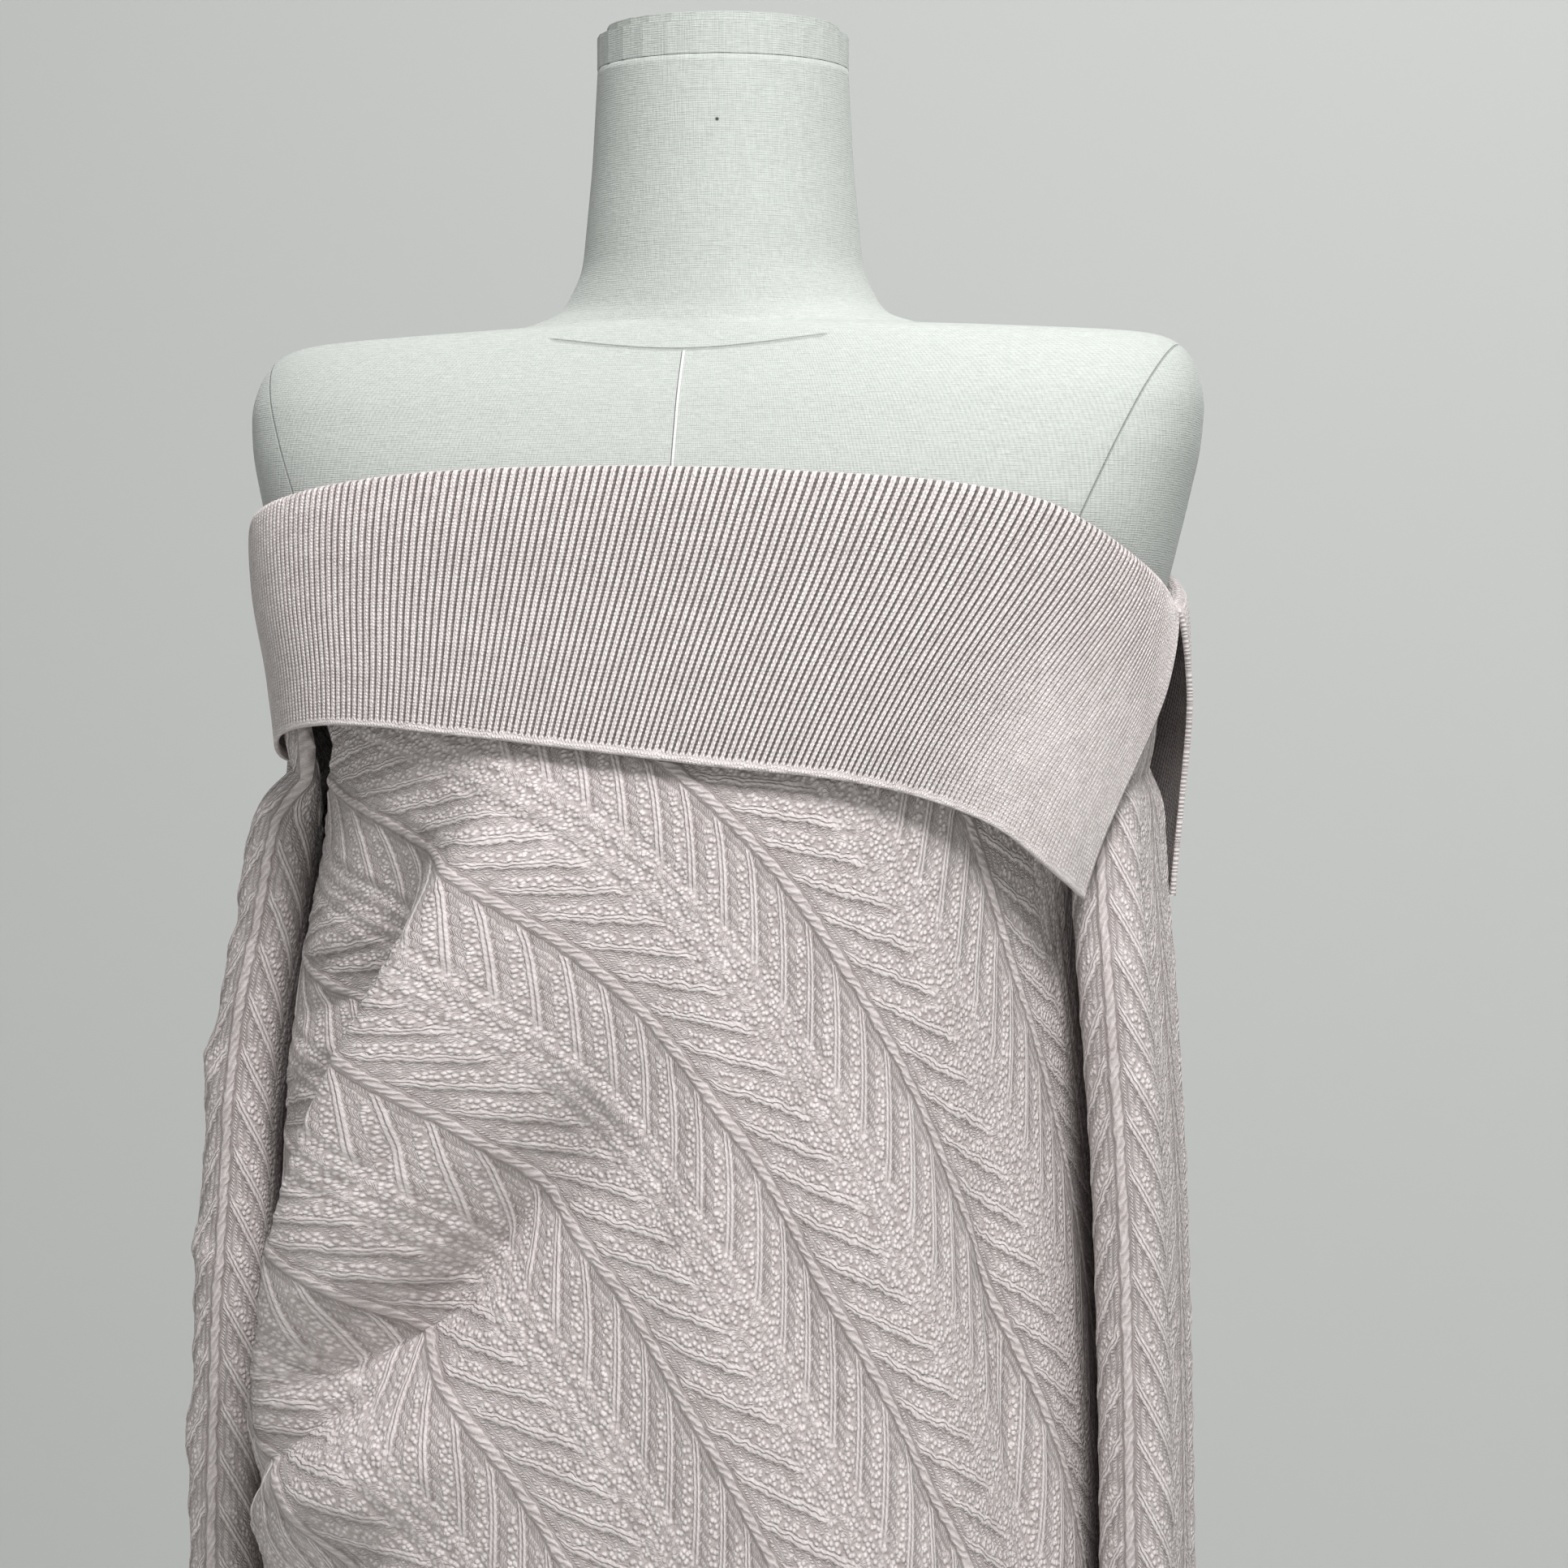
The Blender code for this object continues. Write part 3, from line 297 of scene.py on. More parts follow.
# Soft ridges (rise above 0) and troughs (below 0) of the body
BODY_FOLDS = table(
    "start_angle start_height end_angle end_height bow rise left right",
    (
        (-22, 0.655, -55, 0.385, -0.008, 0.0300, 0.012, 0.044),
        (-35, 0.650, -66, 0.430, -0.006, -0.0230, 0.030, 0.012),
        (-48, 0.440, -70, 0.395, 0.000, 0.0120, 0.020, 0.026),
        (-6, 0.545, -56, 0.400, 0.010, -0.0270, 0.020, 0.020),
        (-20, 0.420, -62, 0.360, 0.006, 0.0110, 0.019, 0.020),
        (-34, 0.370, -70, 0.300, 0.000, -0.0090, 0.016, 0.020),
        (14, 0.610, -2, 0.330, 0.010, 0.0070, 0.030, 0.024),
        (20, 0.600, 22, 0.420, -0.006, -0.0060, 0.016, 0.020),
        (44, 0.580, 62, 0.250, 0.004, -0.0100, 0.024, 0.026),
        (56, 0.500, 70, 0.250, 0.000, 0.0050, 0.022, 0.022),
        (120, 0.640, 112, 0.300, 0.004, 0.0080, 0.022, 0.026),
        (145, 0.630, 152, 0.300, 0.006, -0.0090, 0.022, 0.024),
        (172, 0.640, 166, 0.260, -0.006, 0.0080, 0.026, 0.030),
        (196, 0.600, 204, 0.260, 0.005, -0.0090, 0.022, 0.026),
        (226, 0.640, 232, 0.320, 0.004, 0.0100, 0.024, 0.024),
        (250, 0.560, 256, 0.300, -0.004, -0.0070, 0.018, 0.018),
    ),
)

SLEEVE_FOLD_COLUMNS = "start_across start_height end_across end_height bow rise left right"
SLEEVE_FOLDS = {
    "right": table(
        SLEEVE_FOLD_COLUMNS,
        (
            (-0.026, 0.620, -0.016, 0.240, 0.002, -0.0022, 0.012, 0.012),
            (0.032, 0.600, 0.026, 0.250, 0.004, -0.0022, 0.014, 0.014),
        ),
    ),
    "left": table(
        SLEEVE_FOLD_COLUMNS,
        (
            (0.010, 0.600, 0.046, 0.565, 0.003, -0.0028, 0.014, 0.014),
            (-0.030, 0.530, 0.044, 0.475, 0.003, -0.0032, 0.015, 0.015),
            (0.000, 0.450, 0.044, 0.405, 0.002, -0.0028, 0.015, 0.015),
            (-0.044, 0.430, 0.010, 0.370, 0.002, -0.0028, 0.015, 0.015),
            (-0.010, 0.350, 0.044, 0.295, 0.003, -0.0032, 0.015, 0.015),
        ),
    ),
}

# Small creases that only the fine shells have
BODY_CREASES = table(
    "start_angle start_height end_angle end_height bow rise left right",
    (
        (-44, 0.620, -66, 0.600, 0.003, 0.0022, 0.006, 0.007),
        (-46, 0.596, -68, 0.572, 0.003, -0.0024, 0.005, 0.006),
        (-50, 0.570, -72, 0.552, 0.002, 0.0022, 0.006, 0.006),
        (-54, 0.540, -74, 0.528, 0.002, -0.0024, 0.005, 0.006),
        (-56, 0.514, -76, 0.500, 0.002, 0.0022, 0.006, 0.006),
        (-20, 0.560, -42, 0.500, 0.005, -0.0024, 0.006, 0.009),
        (-16, 0.520, -44, 0.462, 0.006, 0.0026, 0.006, 0.008),
        (-22, 0.470, -50, 0.432, 0.005, -0.0028, 0.005, 0.008),
        (-28, 0.452, -58, 0.412, 0.004, 0.0026, 0.005, 0.007),
        (-36, 0.430, -66, 0.380, 0.004, -0.0030, 0.005, 0.007),
        (-46, 0.400, -70, 0.350, 0.003, 0.0026, 0.006, 0.006),
        (8, 0.560, -8, 0.440, 0.006, -0.0022, 0.007, 0.009),
        (26, 0.560, 30, 0.430, -0.004, 0.0020, 0.007, 0.010),
        (40, 0.620, 50, 0.470, 0.004, 0.0022, 0.008, 0.010),
        (48, 0.520, 60, 0.330, 0.003, -0.0028, 0.006, 0.008),
        (34, 0.480, 44, 0.330, -0.003, -0.0024, 0.008, 0.009),
        (-4, 0.430, -18, 0.310, 0.004, 0.0024, 0.009, 0.009),
    ),
)
SLEEVE_CREASES = {
    "right": table(
        SLEEVE_FOLD_COLUMNS,
        (
            (-0.040, 0.640, -0.008, 0.560, 0.003, -0.0018, 0.006, 0.006),
            (-0.056, 0.560, -0.020, 0.500, 0.003, 0.0016, 0.006, 0.006),
            (-0.040, 0.480, -0.004, 0.430, 0.002, -0.0016, 0.006, 0.007),
            (-0.052, 0.400, -0.018, 0.350, 0.002, 0.0016, 0.006, 0.007),
        ),
    ),
    "left": table(
        SLEEVE_FOLD_COLUMNS,
        (
            (0.004, 0.628, 0.052, 0.606, 0.002, -0.0026, 0.005, 0.006),
            (0.012, 0.580, 0.056, 0.540, 0.002, 0.0028, 0.005, 0.006),
            (-0.010, 0.548, 0.050, 0.515, 0.003, -0.0030, 0.005, 0.007),
            (0.014, 0.505, 0.058, 0.462, 0.002, 0.0028, 0.006, 0.007),
            (-0.020, 0.470, 0.046, 0.440, 0.003, -0.0028, 0.005, 0.006),
            (0.008, 0.430, 0.056, 0.385, 0.002, 0.0028, 0.006, 0.007),
            (-0.006, 0.385, 0.050, 0.345, 0.003, -0.0030, 0.006, 0.006),
            (0.010, 0.330, 0.056, 0.290, 0.002, 0.0028, 0.006, 0.007),
        ),
    ),
}


def eased(share):
    """A smooth step from 0 to 1."""
    share = np.clip(share, 0, 1)
    return share * share * (3 - 2 * share)


def smooth_between(stations, values, at):
    """Values of a smooth curve through the stations, which rise."""
    slopes = np.gradient(values, stations)
    at = np.clip(at, stations[0], stations[-1])
    index = np.clip(np.searchsorted(stations, at) - 1, 0, len(stations) - 2)
    span = stations[index + 1] - stations[index]
    t = (at - stations[index]) / span
    low, high = values[index], values[index + 1]
    low_slope, high_slope = slopes[index] * span, slopes[index + 1] * span
    rising = t * t * (3 - 2 * t)
    return (
        low * (1 - rising)
        + high * rising
        + low_slope * t * (1 - t) ** 2
        - high_slope * t * t * (1 - t)
    )


def oval_point(angle, left, right, front, back, square):
    """A point of a squared oval round the origin, at an angle in radians."""
    side, ahead = np.sin(angle), np.cos(angle)
    reach = (np.abs(side) ** square + np.abs(ahead) ** square) ** (-1 / square)
    x = np.where(side < 0, left, right) * side * reach
    y = -np.where(ahead > 0, front, back) * ahead * reach
    return x, y


def fold_rise(folds, names, across, height, turn=0.0):
    """How far the folds lift the cloth at a point. Turn is the distance once round, if it closes."""
    start_x, start_y, end_x, end_y = names
    total = np.zeros(np.broadcast(across, height).shape)
    for row in range(len(folds["rise"])):
        fold = {name: column[row] for name, column in folds.items()}
        run_x = fold[end_x] - fold[start_x]
        run_y = fold[end_y] - fold[start_y]
        length = math.hypot(run_x, run_y)
        for shift in (0.0, turn, -turn) if turn else (0.0,):
            from_x = across + shift - fold[start_x]
            from_y = height - fold[start_y]
            along = (from_x * run_x + from_y * run_y) / length**2
            beside = (from_x * run_y - from_y * run_x) / length
            kept = np.clip(along, 0, 1)
            beside = beside + fold["bow"] * np.sin(math.pi * kept)
            beyond = (along - kept) * length
            width = np.where(beside > 0, fold["left"], fold["right"])
            shape = np.exp(-((beside / width) ** 2) - (beyond / FOLD_END) ** 2)
            swell = FOLD_LOW + (1 - FOLD_LOW) * np.sin(math.pi * kept) ** 0.8
            total = total + fold["rise"] * shape * swell
    return total


def placed_on_body(folds):
    """The body's folds with their angles turned into distances across."""
    placed = dict(folds)
    placed["start_across"] = np.radians(placed.pop("start_angle")) * SPREAD
    placed["end_across"] = np.radians(placed.pop("end_angle")) * SPREAD
    return placed


def body_base(angle, height):
    """The body's inner face before its folds."""
    sizes = [
        smooth_between(BODY["height"], BODY[name], height)
        for name in ("left", "right", "front", "back", "square")
    ]
    x, y = oval_point(angle, *sizes)
    return np.stack([x, y, height + 0 * x], -1)


def outward(surface, across, height, step):
    """The unit normal of a surface, by small steps across and up."""
    sideways = surface(across + step, height) - surface(across - step, height)
    upwards = surface(across, height + step) - surface(across, height - step)
    normal = np.cross(sideways, upwards)
    return normal / np.maximum(np.linalg.norm(normal, axis=-1, keepdims=True), 1e-12)


def base_surface(across, height):
    """The body's inner face before its folds, at a distance across."""
    return body_base(across / SPREAD, height)


def body_surface(across, height):
    """The body's inner face with its folds and small creases."""
    base = base_surface(across, height)
    facing = outward(base_surface, across, height, 0.004)
    facing[..., 2] = 0
    around = 2 * math.pi * SPREAD
    rise = fold_rise(placed_on_body(BODY_FOLDS), FOLD_PLACES, across, height, around)
    rise = rise + fold_rise(placed_on_body(BODY_CREASES), FOLD_PLACES, across, height)
    return base + facing * rise[..., None]


def pushed_out(x, y, height, space):
    """A point moved out until it is at least that far from the body's base."""
    names = ("left", "right", "front", "back", "square")
    left, right, front, back, square = (
        smooth_between(BODY["height"], BODY[name], height) for name in names
    )
    wide = np.where(x < 0, left, right) + space
    deep = np.where(y < 0, front, back) + space
    reach = (np.abs(x / wide) ** square + np.abs(y / deep) ** square) ** (1 / square)
    scale = 1 / np.minimum(reach, 1)
    return x * scale, y * scale


def neckline_height(angle):
    """Height of the seam between the collar and what hangs from it, at an angle in degrees."""
    angle = np.where(angle < -94, angle + 360, angle)
    fold = smooth_between(FOLD_LINE["angle"], FOLD_LINE["height"], angle)
    return fold - smooth_between(FOLD_LINE["angle"], FOLD_LINE["leg"], angle)


def armhole_point(share, side):
    """Angle in degrees and height of the armhole's edge. Share runs from -1 at the underarm, over
    the front or back corner at -0.5, 0 at the top and 0.5 at the other corner, to 1."""
    size = np.abs(share)
    top_part = np.clip(size / 0.5, 0, 1)
    under_part = np.clip((size - 0.5) / 0.5, 0, 1)
    turn = ARMHOLE_HALF_TOP * (top_part - under_part)
    angle = side * ARMHOLE_ANGLE + np.sign(share) * turn
    corner = side * ARMHOLE_ANGLE + np.sign(share) * ARMHOLE_HALF_TOP
    top = neckline_height(np.where(size < 0.5, angle, corner)) - GAP
    curved = ARMHOLE_STRAIGHT + (1 - ARMHOLE_STRAIGHT) * under_part
    drop = np.where(under_part > 0, curved, 0)
    return angle, top * (1 - drop) + UNDERARM_HEIGHT * drop


def tube_point(name, share, height):
    """A point of a sleeve's flat tube: straight flanks with round ends."""
    side = 1 if name == "right" else -1
    sizes = SLEEVES[name]
    part = {key: smooth_between(sizes["height"], sizes[key], height) for key in sizes}
    thick = part["thick"]
    flat = part["deep"] - thick
    run = np.abs(share) * 2 * (flat + math.pi / 2 * thick)
    turn = np.clip((run - flat) / thick, 0, math.pi)
    beyond = np.maximum(run - flat - math.pi * thick, 0)
    ahead = np.minimum(run, flat) + thick * np.sin(turn) - beyond
    x = side * (part["x"] + thick * np.cos(turn))
    return x, part["y"] + side * np.sign(share) * ahead


def sleeve_base(name, across, height):
    """A sleeve's inner face before its folds: close over the body at the top, then a tube."""
    side = 1 if name == "right" else -1
    share = (across / (SLEEVE_ROUND / 2) + 1) % 2 - 1
    size = np.abs(share)
    corner = side * ARMHOLE_ANGLE + np.sign(share) * ARMHOLE_HALF_TOP
    top = neckline_height(corner) - GAP
    folded = eased((top - height - FOLD_DEPTH) / FOLD_DEPTH)
    turn = np.where(size < 0.5, 2 * size, 1 + (2 * size - 1) * (1 - 2 * folded))
    angle = side * ARMHOLE_ANGLE + np.sign(share) * ARMHOLE_HALF_TOP * turn
    top = neckline_height(np.where(size < 0.5, angle, corner)) - GAP
    spread = eased((top - height) / SLEEVE_SPREAD)
    inner_layer = eased((size - 0.41) / 0.18)
    away = (SLEEVE_OUTER + (SLEEVE_INNER - SLEEVE_OUTER) * inner_layer) * spread
    close = body_base(np.radians(angle), height)
    hang_top, hang_bottom = SLEEVE_HANG[name]
    hanging = eased((hang_top - height) / (hang_top - hang_bottom))
    x, y = tube_point(name, share, height)
    x = close[..., 0] * (1 - hanging) + x * hanging
    y = close[..., 1] * (1 - hanging) + y * hanging
    x, y = pushed_out(x, y, height, away)
    return np.stack([x, y, height + 0 * x], -1)


def sleeve_surface(name):
    """The inner face of a sleeve, with its folds and small creases."""

    def base(across, height):
        return sleeve_base(name, across, height)

    def surface(across, height):
        facing = outward(base, across, height, 0.003)
        facing[..., 2] = 0
        rise = fold_rise(SLEEVE_FOLDS[name], FOLD_PLACES, across, height, SLEEVE_ROUND)
        rise = rise + fold_rise(SLEEVE_CREASES[name], FOLD_PLACES, across, height, SLEEVE_ROUND)
        return base(across, height) + facing * rise[..., None]

    return surface


def flap_surface(name):
    """The hidden face of a collar half. Path is 0 at the fold, above 0 behind it down to the
    seam, and below 0 ahead of it down to the hem."""
    flap = FLAPS[name]

    def surface(across, path):
        angle = np.degrees(across / SPREAD)
        fold, leg = (
            smooth_between(FOLD_LINE["angle"], FOLD_LINE[column], angle)
            for column in ("height", "leg")
        )
        hem_angle, hem_height, hem_stand, early = (
            smooth_between(flap["fold_angle"], flap[column], angle)
            for column in ("hem_angle", "hem_height", "stand", "early")
        )
        behind = np.maximum(path, 0) / LEG_PATH
        ahead = np.maximum(-path, 0) / FLAP_PATH
        distance = (fold - hem_height) * ahead - (leg - GAP) * behind
        bend = np.hypot(distance, ROLL_HALF)
        height = fold - (bend - ROLL_HALF)
        even = np.clip(ahead, 0, 1)
        moved = even**1.15 * (1 - early) + (1 - (1 - even) ** 2.2) * early
        turn = np.radians(angle + (hem_angle - angle) * moved) * SPREAD
        facing = outward(base_surface, turn, height, 0.003)
        facing[..., 2] = 0
        near = GAP + RIB_WALL + ROLL_HALF + ROLL_HALF * distance / bend
        stand = near + (hem_stand - GAP - RIB_WALL - 2 * ROLL_HALF) * even**0.8
        stand = stand + EARLY_LIFT * early * np.sin(math.pi * even)
        return base_surface(turn, height) + facing * stand[..., None]

    return surface


def front_pattern(across, height):
    """Stem number, as a real number, and distance down the stem on the front panel."""
    fall = PATTERN_TOP - height
    plain = STEM_LEAN * fall + STEM_START - PATTERN_SHIFT - across
    stem = plain / STEM_STEP
    for _ in range(30):
        hook = np.exp(np.clip(HOOK_START + HOOK_GROWTH * stem - HOOK_FADE * fall, -60, 3))
        error = plain - STEM_STEP * stem - hook
        stem = stem + np.clip(error / (STEM_STEP + HOOK_GROWTH * hook), -0.5, 0.5)
    hook = np.exp(np.clip(HOOK_START + HOOK_GROWTH * stem - HOOK_FADE * fall, -60, 3))
    return stem, 1.11 * fall - 0.95 * hook - 0.050 * stem


def back_pattern(across, height):
    """Stem number and distance down the stem on the back panel."""
    along = PATTERN_TOP - height
    return (across - math.pi * SPREAD - 0.02 + 0.10 * along) / STEM_SPACING, along


def sleeve_pattern(across, height):
    """Stem number and distance down the stem on a sleeve."""
    return across * SLEEVE_STEMS / SLEEVE_ROUND, PATTERN_TOP - height


def leaf_rise(stem, along, sizes):
    """Rise of the stems and veins over the knit."""
    away = np.abs(stem - np.round(stem)) * STEM_SPACING
    cord = np.clip(1 - (away / STEM_HALF_WIDTH) ** 2, 0, 1) ** 0.7
    phase = (along - vein_drop(away)) / sizes.vein_spacing
    apart = sizes.vein_spacing * VEIN_SLANT
    groove_place, groove_width, groove_share = VEIN_GROOVE
    from_vein = np.abs(phase - np.round(phase)) * apart
    from_groove = (phase - np.floor(phase) - groove_place) * apart
    vein = np.exp(-((from_vein / VEIN_HALF_WIDTH) ** 2))
    groove = np.exp(-((from_groove / groove_width) ** 2))
    reach = eased((away - 0.0025) / 0.003) * (1 - eased((away - 0.021) / 0.008))
    beyond = eased((away - 0.023) / 0.004)
    band = np.cos(2 * math.pi * (away - BAND_CREST) / BAND_SPACING)
    rise = sizes.stem_rise * cord + sizes.vein_rise * (vein - groove_share * groove) * reach
    return rise + BAND_RISE * band * beyond


def rib_rise(across, path, spacing, rise):
    """Rise of the collar's ribs, and a plain cast-off edge."""
    within = across / spacing - np.floor(across / spacing)
    column = np.sin(math.pi * within) ** 0.7
    edge = eased((FLAP_PATH - CAST_OFF + path) / 0.0012)
    return rise * (column * edge + 0.9 * (1 - edge))


def shell(name, surface, grid, rise, wall, layers, step, rims):
    """A fine shell: rise stands on the outer face of a wall, and its rims turn in. Rims names the
    sides of the grid, out of low, high and ends."""
    across, height = grid
    place = surface(across, height)
    normal = outward(surface, across, height, step)
    rows, columns = across.shape
    row_index, row_lift = rimmed(rows, "low" in rims, "high" in rims)
    column_index, column_lift = rimmed(columns, "ends" in rims, "ends" in rims)
    picked = np.ix_(row_index, column_index)
    lift = ((wall + rise)[picked]) * row_lift[:, None] * column_lift[None, :]
    points = place[picked] + normal[picked] * lift[..., None]
    index = np.arange(points.shape[0] * points.shape[1]).reshape(points.shape[:2])
    quads = np.stack([index[:-1, :-1], index[:-1, 1:], index[1:, 1:], index[1:, :-1]], -1)
    quads = quads.reshape(-1, 4)
    points = points.reshape(-1, 3)
    left = np.linalg.norm(points[quads[:, 0]] - points[quads[:, 3]], axis=1)
    right = np.linalg.norm(points[quads[:, 1]] - points[quads[:, 2]], axis=1)
    quads = quads[(left > 1e-6) | (right > 1e-6)]
    layers = {key: value[picked].ravel() for key, value in layers.items()}
    return grid_object(name, points, quads, layers)


def grid_object(name, points, quads, layers):
    """An object from points and quads, with a UV map in metres and named shares."""
    mesh = bpy.data.meshes.new(name)
    mesh.vertices.add(len(points))
    mesh.vertices.foreach_set("co", np.asarray(points, np.float32).ravel())
    mesh.loops.add(quads.size)
    mesh.loops.foreach_set("vertex_index", quads.ravel().astype(np.int32))
    mesh.polygons.add(len(quads))
    mesh.polygons.foreach_set("loop_start", np.arange(0, quads.size, 4, dtype=np.int32))
    mesh.update(calc_edges=True)
    mesh.validate()
    mesh.polygons.foreach_set("use_smooth", np.ones(len(mesh.polygons), bool))
    corner = np.empty(len(mesh.loops), np.int32)
    mesh.loops.foreach_get("vertex_index", corner)
    layer = mesh.uv_layers.new(name="knit")
    flat = np.stack([layers["u"][corner], layers["v"][corner]], -1)
    layer.data.foreach_set("uv", flat.astype(np.float32).ravel())
    for key, values in layers.items():
        if key not in ("u", "v"):
            kept = mesh.attributes.new(key, "FLOAT", "POINT")
            kept.data.foreach_set("value", values.astype(np.float32))
    obj = bpy.data.objects.new(name, mesh)
    bpy.context.scene.collection.objects.link(obj)
    return obj


def panel_grid(low, high, bottom, top_of, cell, breaks=()):
    """Across and height of a panel's points: even rows that stop at the panel's top."""
    lines = np.linspace(low, high, max(2, round((high - low) / cell)))
    lines = np.sort(np.concatenate([lines, *[(b - CORNER_STEP, b + CORNER_STEP) for b in breaks]]))
    tops = top_of(lines)
    rows = np.linspace(bottom, tops.max(), max(2, round((tops.max() - bottom) / cell)))
    height = np.minimum(rows[:, None], tops[None, :])
    return np.broadcast_to(lines[None, :], height.shape), height


def body_top(across):
    """Top of the body's panels at a distance across: the neckline, or the armhole's edge."""
    angle = np.degrees(across / SPREAD)
    side = np.where((angle + 360) % 360 < 180, 1, -1)
    from_side = np.abs((angle - side * ARMHOLE_ANGLE + 180) % 360 - 180)
    under = 0.5 + 0.5 * (1 - np.clip(from_side / ARMHOLE_HALF_TOP, 0, 1))
    toward = np.sign((angle - side * ARMHOLE_ANGLE + 180) % 360 - 180 + 1e-9)
    _, edge = armhole_point(toward * np.clip(under, 0.5001, 1), side)
    return np.where(from_side < ARMHOLE_HALF_TOP, edge, neckline_height(angle)) - GAP


def sleeve_top(side):
    """Top of a sleeve's cloth, at the armhole's edge."""

    def top_of(across):
        return armhole_point(across / (SLEEVE_ROUND / 2), side)[1]

    return top_of


class Nodes:
    """Short ways to add and join shader nodes."""

    def __init__(self, name):
        self.material = bpy.data.materials.new(name)
        self.material.use_nodes = True
        self.tree = self.material.node_tree
        self.shader = self.tree.nodes["Principled BSDF"]

    def put(self, socket, value):
        """Links a socket to a value's node, or sets it to a plain value."""
        if isinstance(value, bpy.types.NodeSocket):
            self.tree.links.new(value, socket)
        else:
            socket.default_value = value

    def add(self, kind, values, output=0, **settings):
        """Adds a node with its input values and settings, and gives one of its outputs."""
        node = self.tree.nodes.new(kind)
        for key, value in settings.items():
            setattr(node, key, value)
        for key, value in values.items():
            self.put(node.inputs[key], value)
        return node.outputs[output]

    def math(self, operation, *values):
        """A math node's result."""
        return self.add("ShaderNodeMath", dict(enumerate(values)), operation=operation)

    def total(self, *values):
        """The sum of the values."""
        result = values[0]
        for value in values[1:]:
            result = self.math("ADD", result, value)
        return result

    def times(self, *values):
        """The product of the values."""
        result = values[0]
        for value in values[1:]:
            result = self.math("MULTIPLY", result, value)
        return result

    def step(self, value, start, end):
        """A smooth step from 0 at the start to 1 at the end."""
        return self.add(
            "ShaderNodeMapRange",
            {"Value": value, "From Min": start, "From Max": end},
            interpolation_type="SMOOTHSTEP",
        )

    def window(self, value, start, full, fading, end):
        """1 between full and fading, and 0 before the start and past the end."""
        return self.times(self.step(value, start, full), self.step(value, end, fading))

    def mix(self, share, first, second, kind="FLOAT"):
        """From the first value at share 0 to the second at share 1."""
        node = self.tree.nodes.new("ShaderNodeMix")
        node.data_type = kind
        sockets = [s for s in node.inputs if s.enabled]
        for socket, value in zip(sockets, (share, first, second)):
            self.put(socket, value)
        return next(s for s in node.outputs if s.enabled)

    def wave(self, value, period, shift=0.0):
        """A wave from 0 to 1 of that period."""
        turned = self.math("MULTIPLY_ADD", value, 2 * math.pi / period, shift)
        return self.math("MULTIPLY_ADD", self.math("SINE", turned), 0.5, 0.5)

    def noise(self, vector, scale, detail=2.0):
        """Soft noise from 0 to 1."""
        values = {"Vector": vector, "Scale": scale, "Detail": detail}
        return self.add("ShaderNodeTexNoise", values)

    def attribute(self, name):
        """A share that the mesh holds for each of its points."""
        return self.add("ShaderNodeAttribute", {}, output="Fac", attribute_name=name)

    def bump(self, height):
        """A bump of a height in metres."""
        normal = self.add("ShaderNodeBump", {"Height": height, "Distance": 1.0})
        self.put(self.shader.inputs["Normal"], normal)


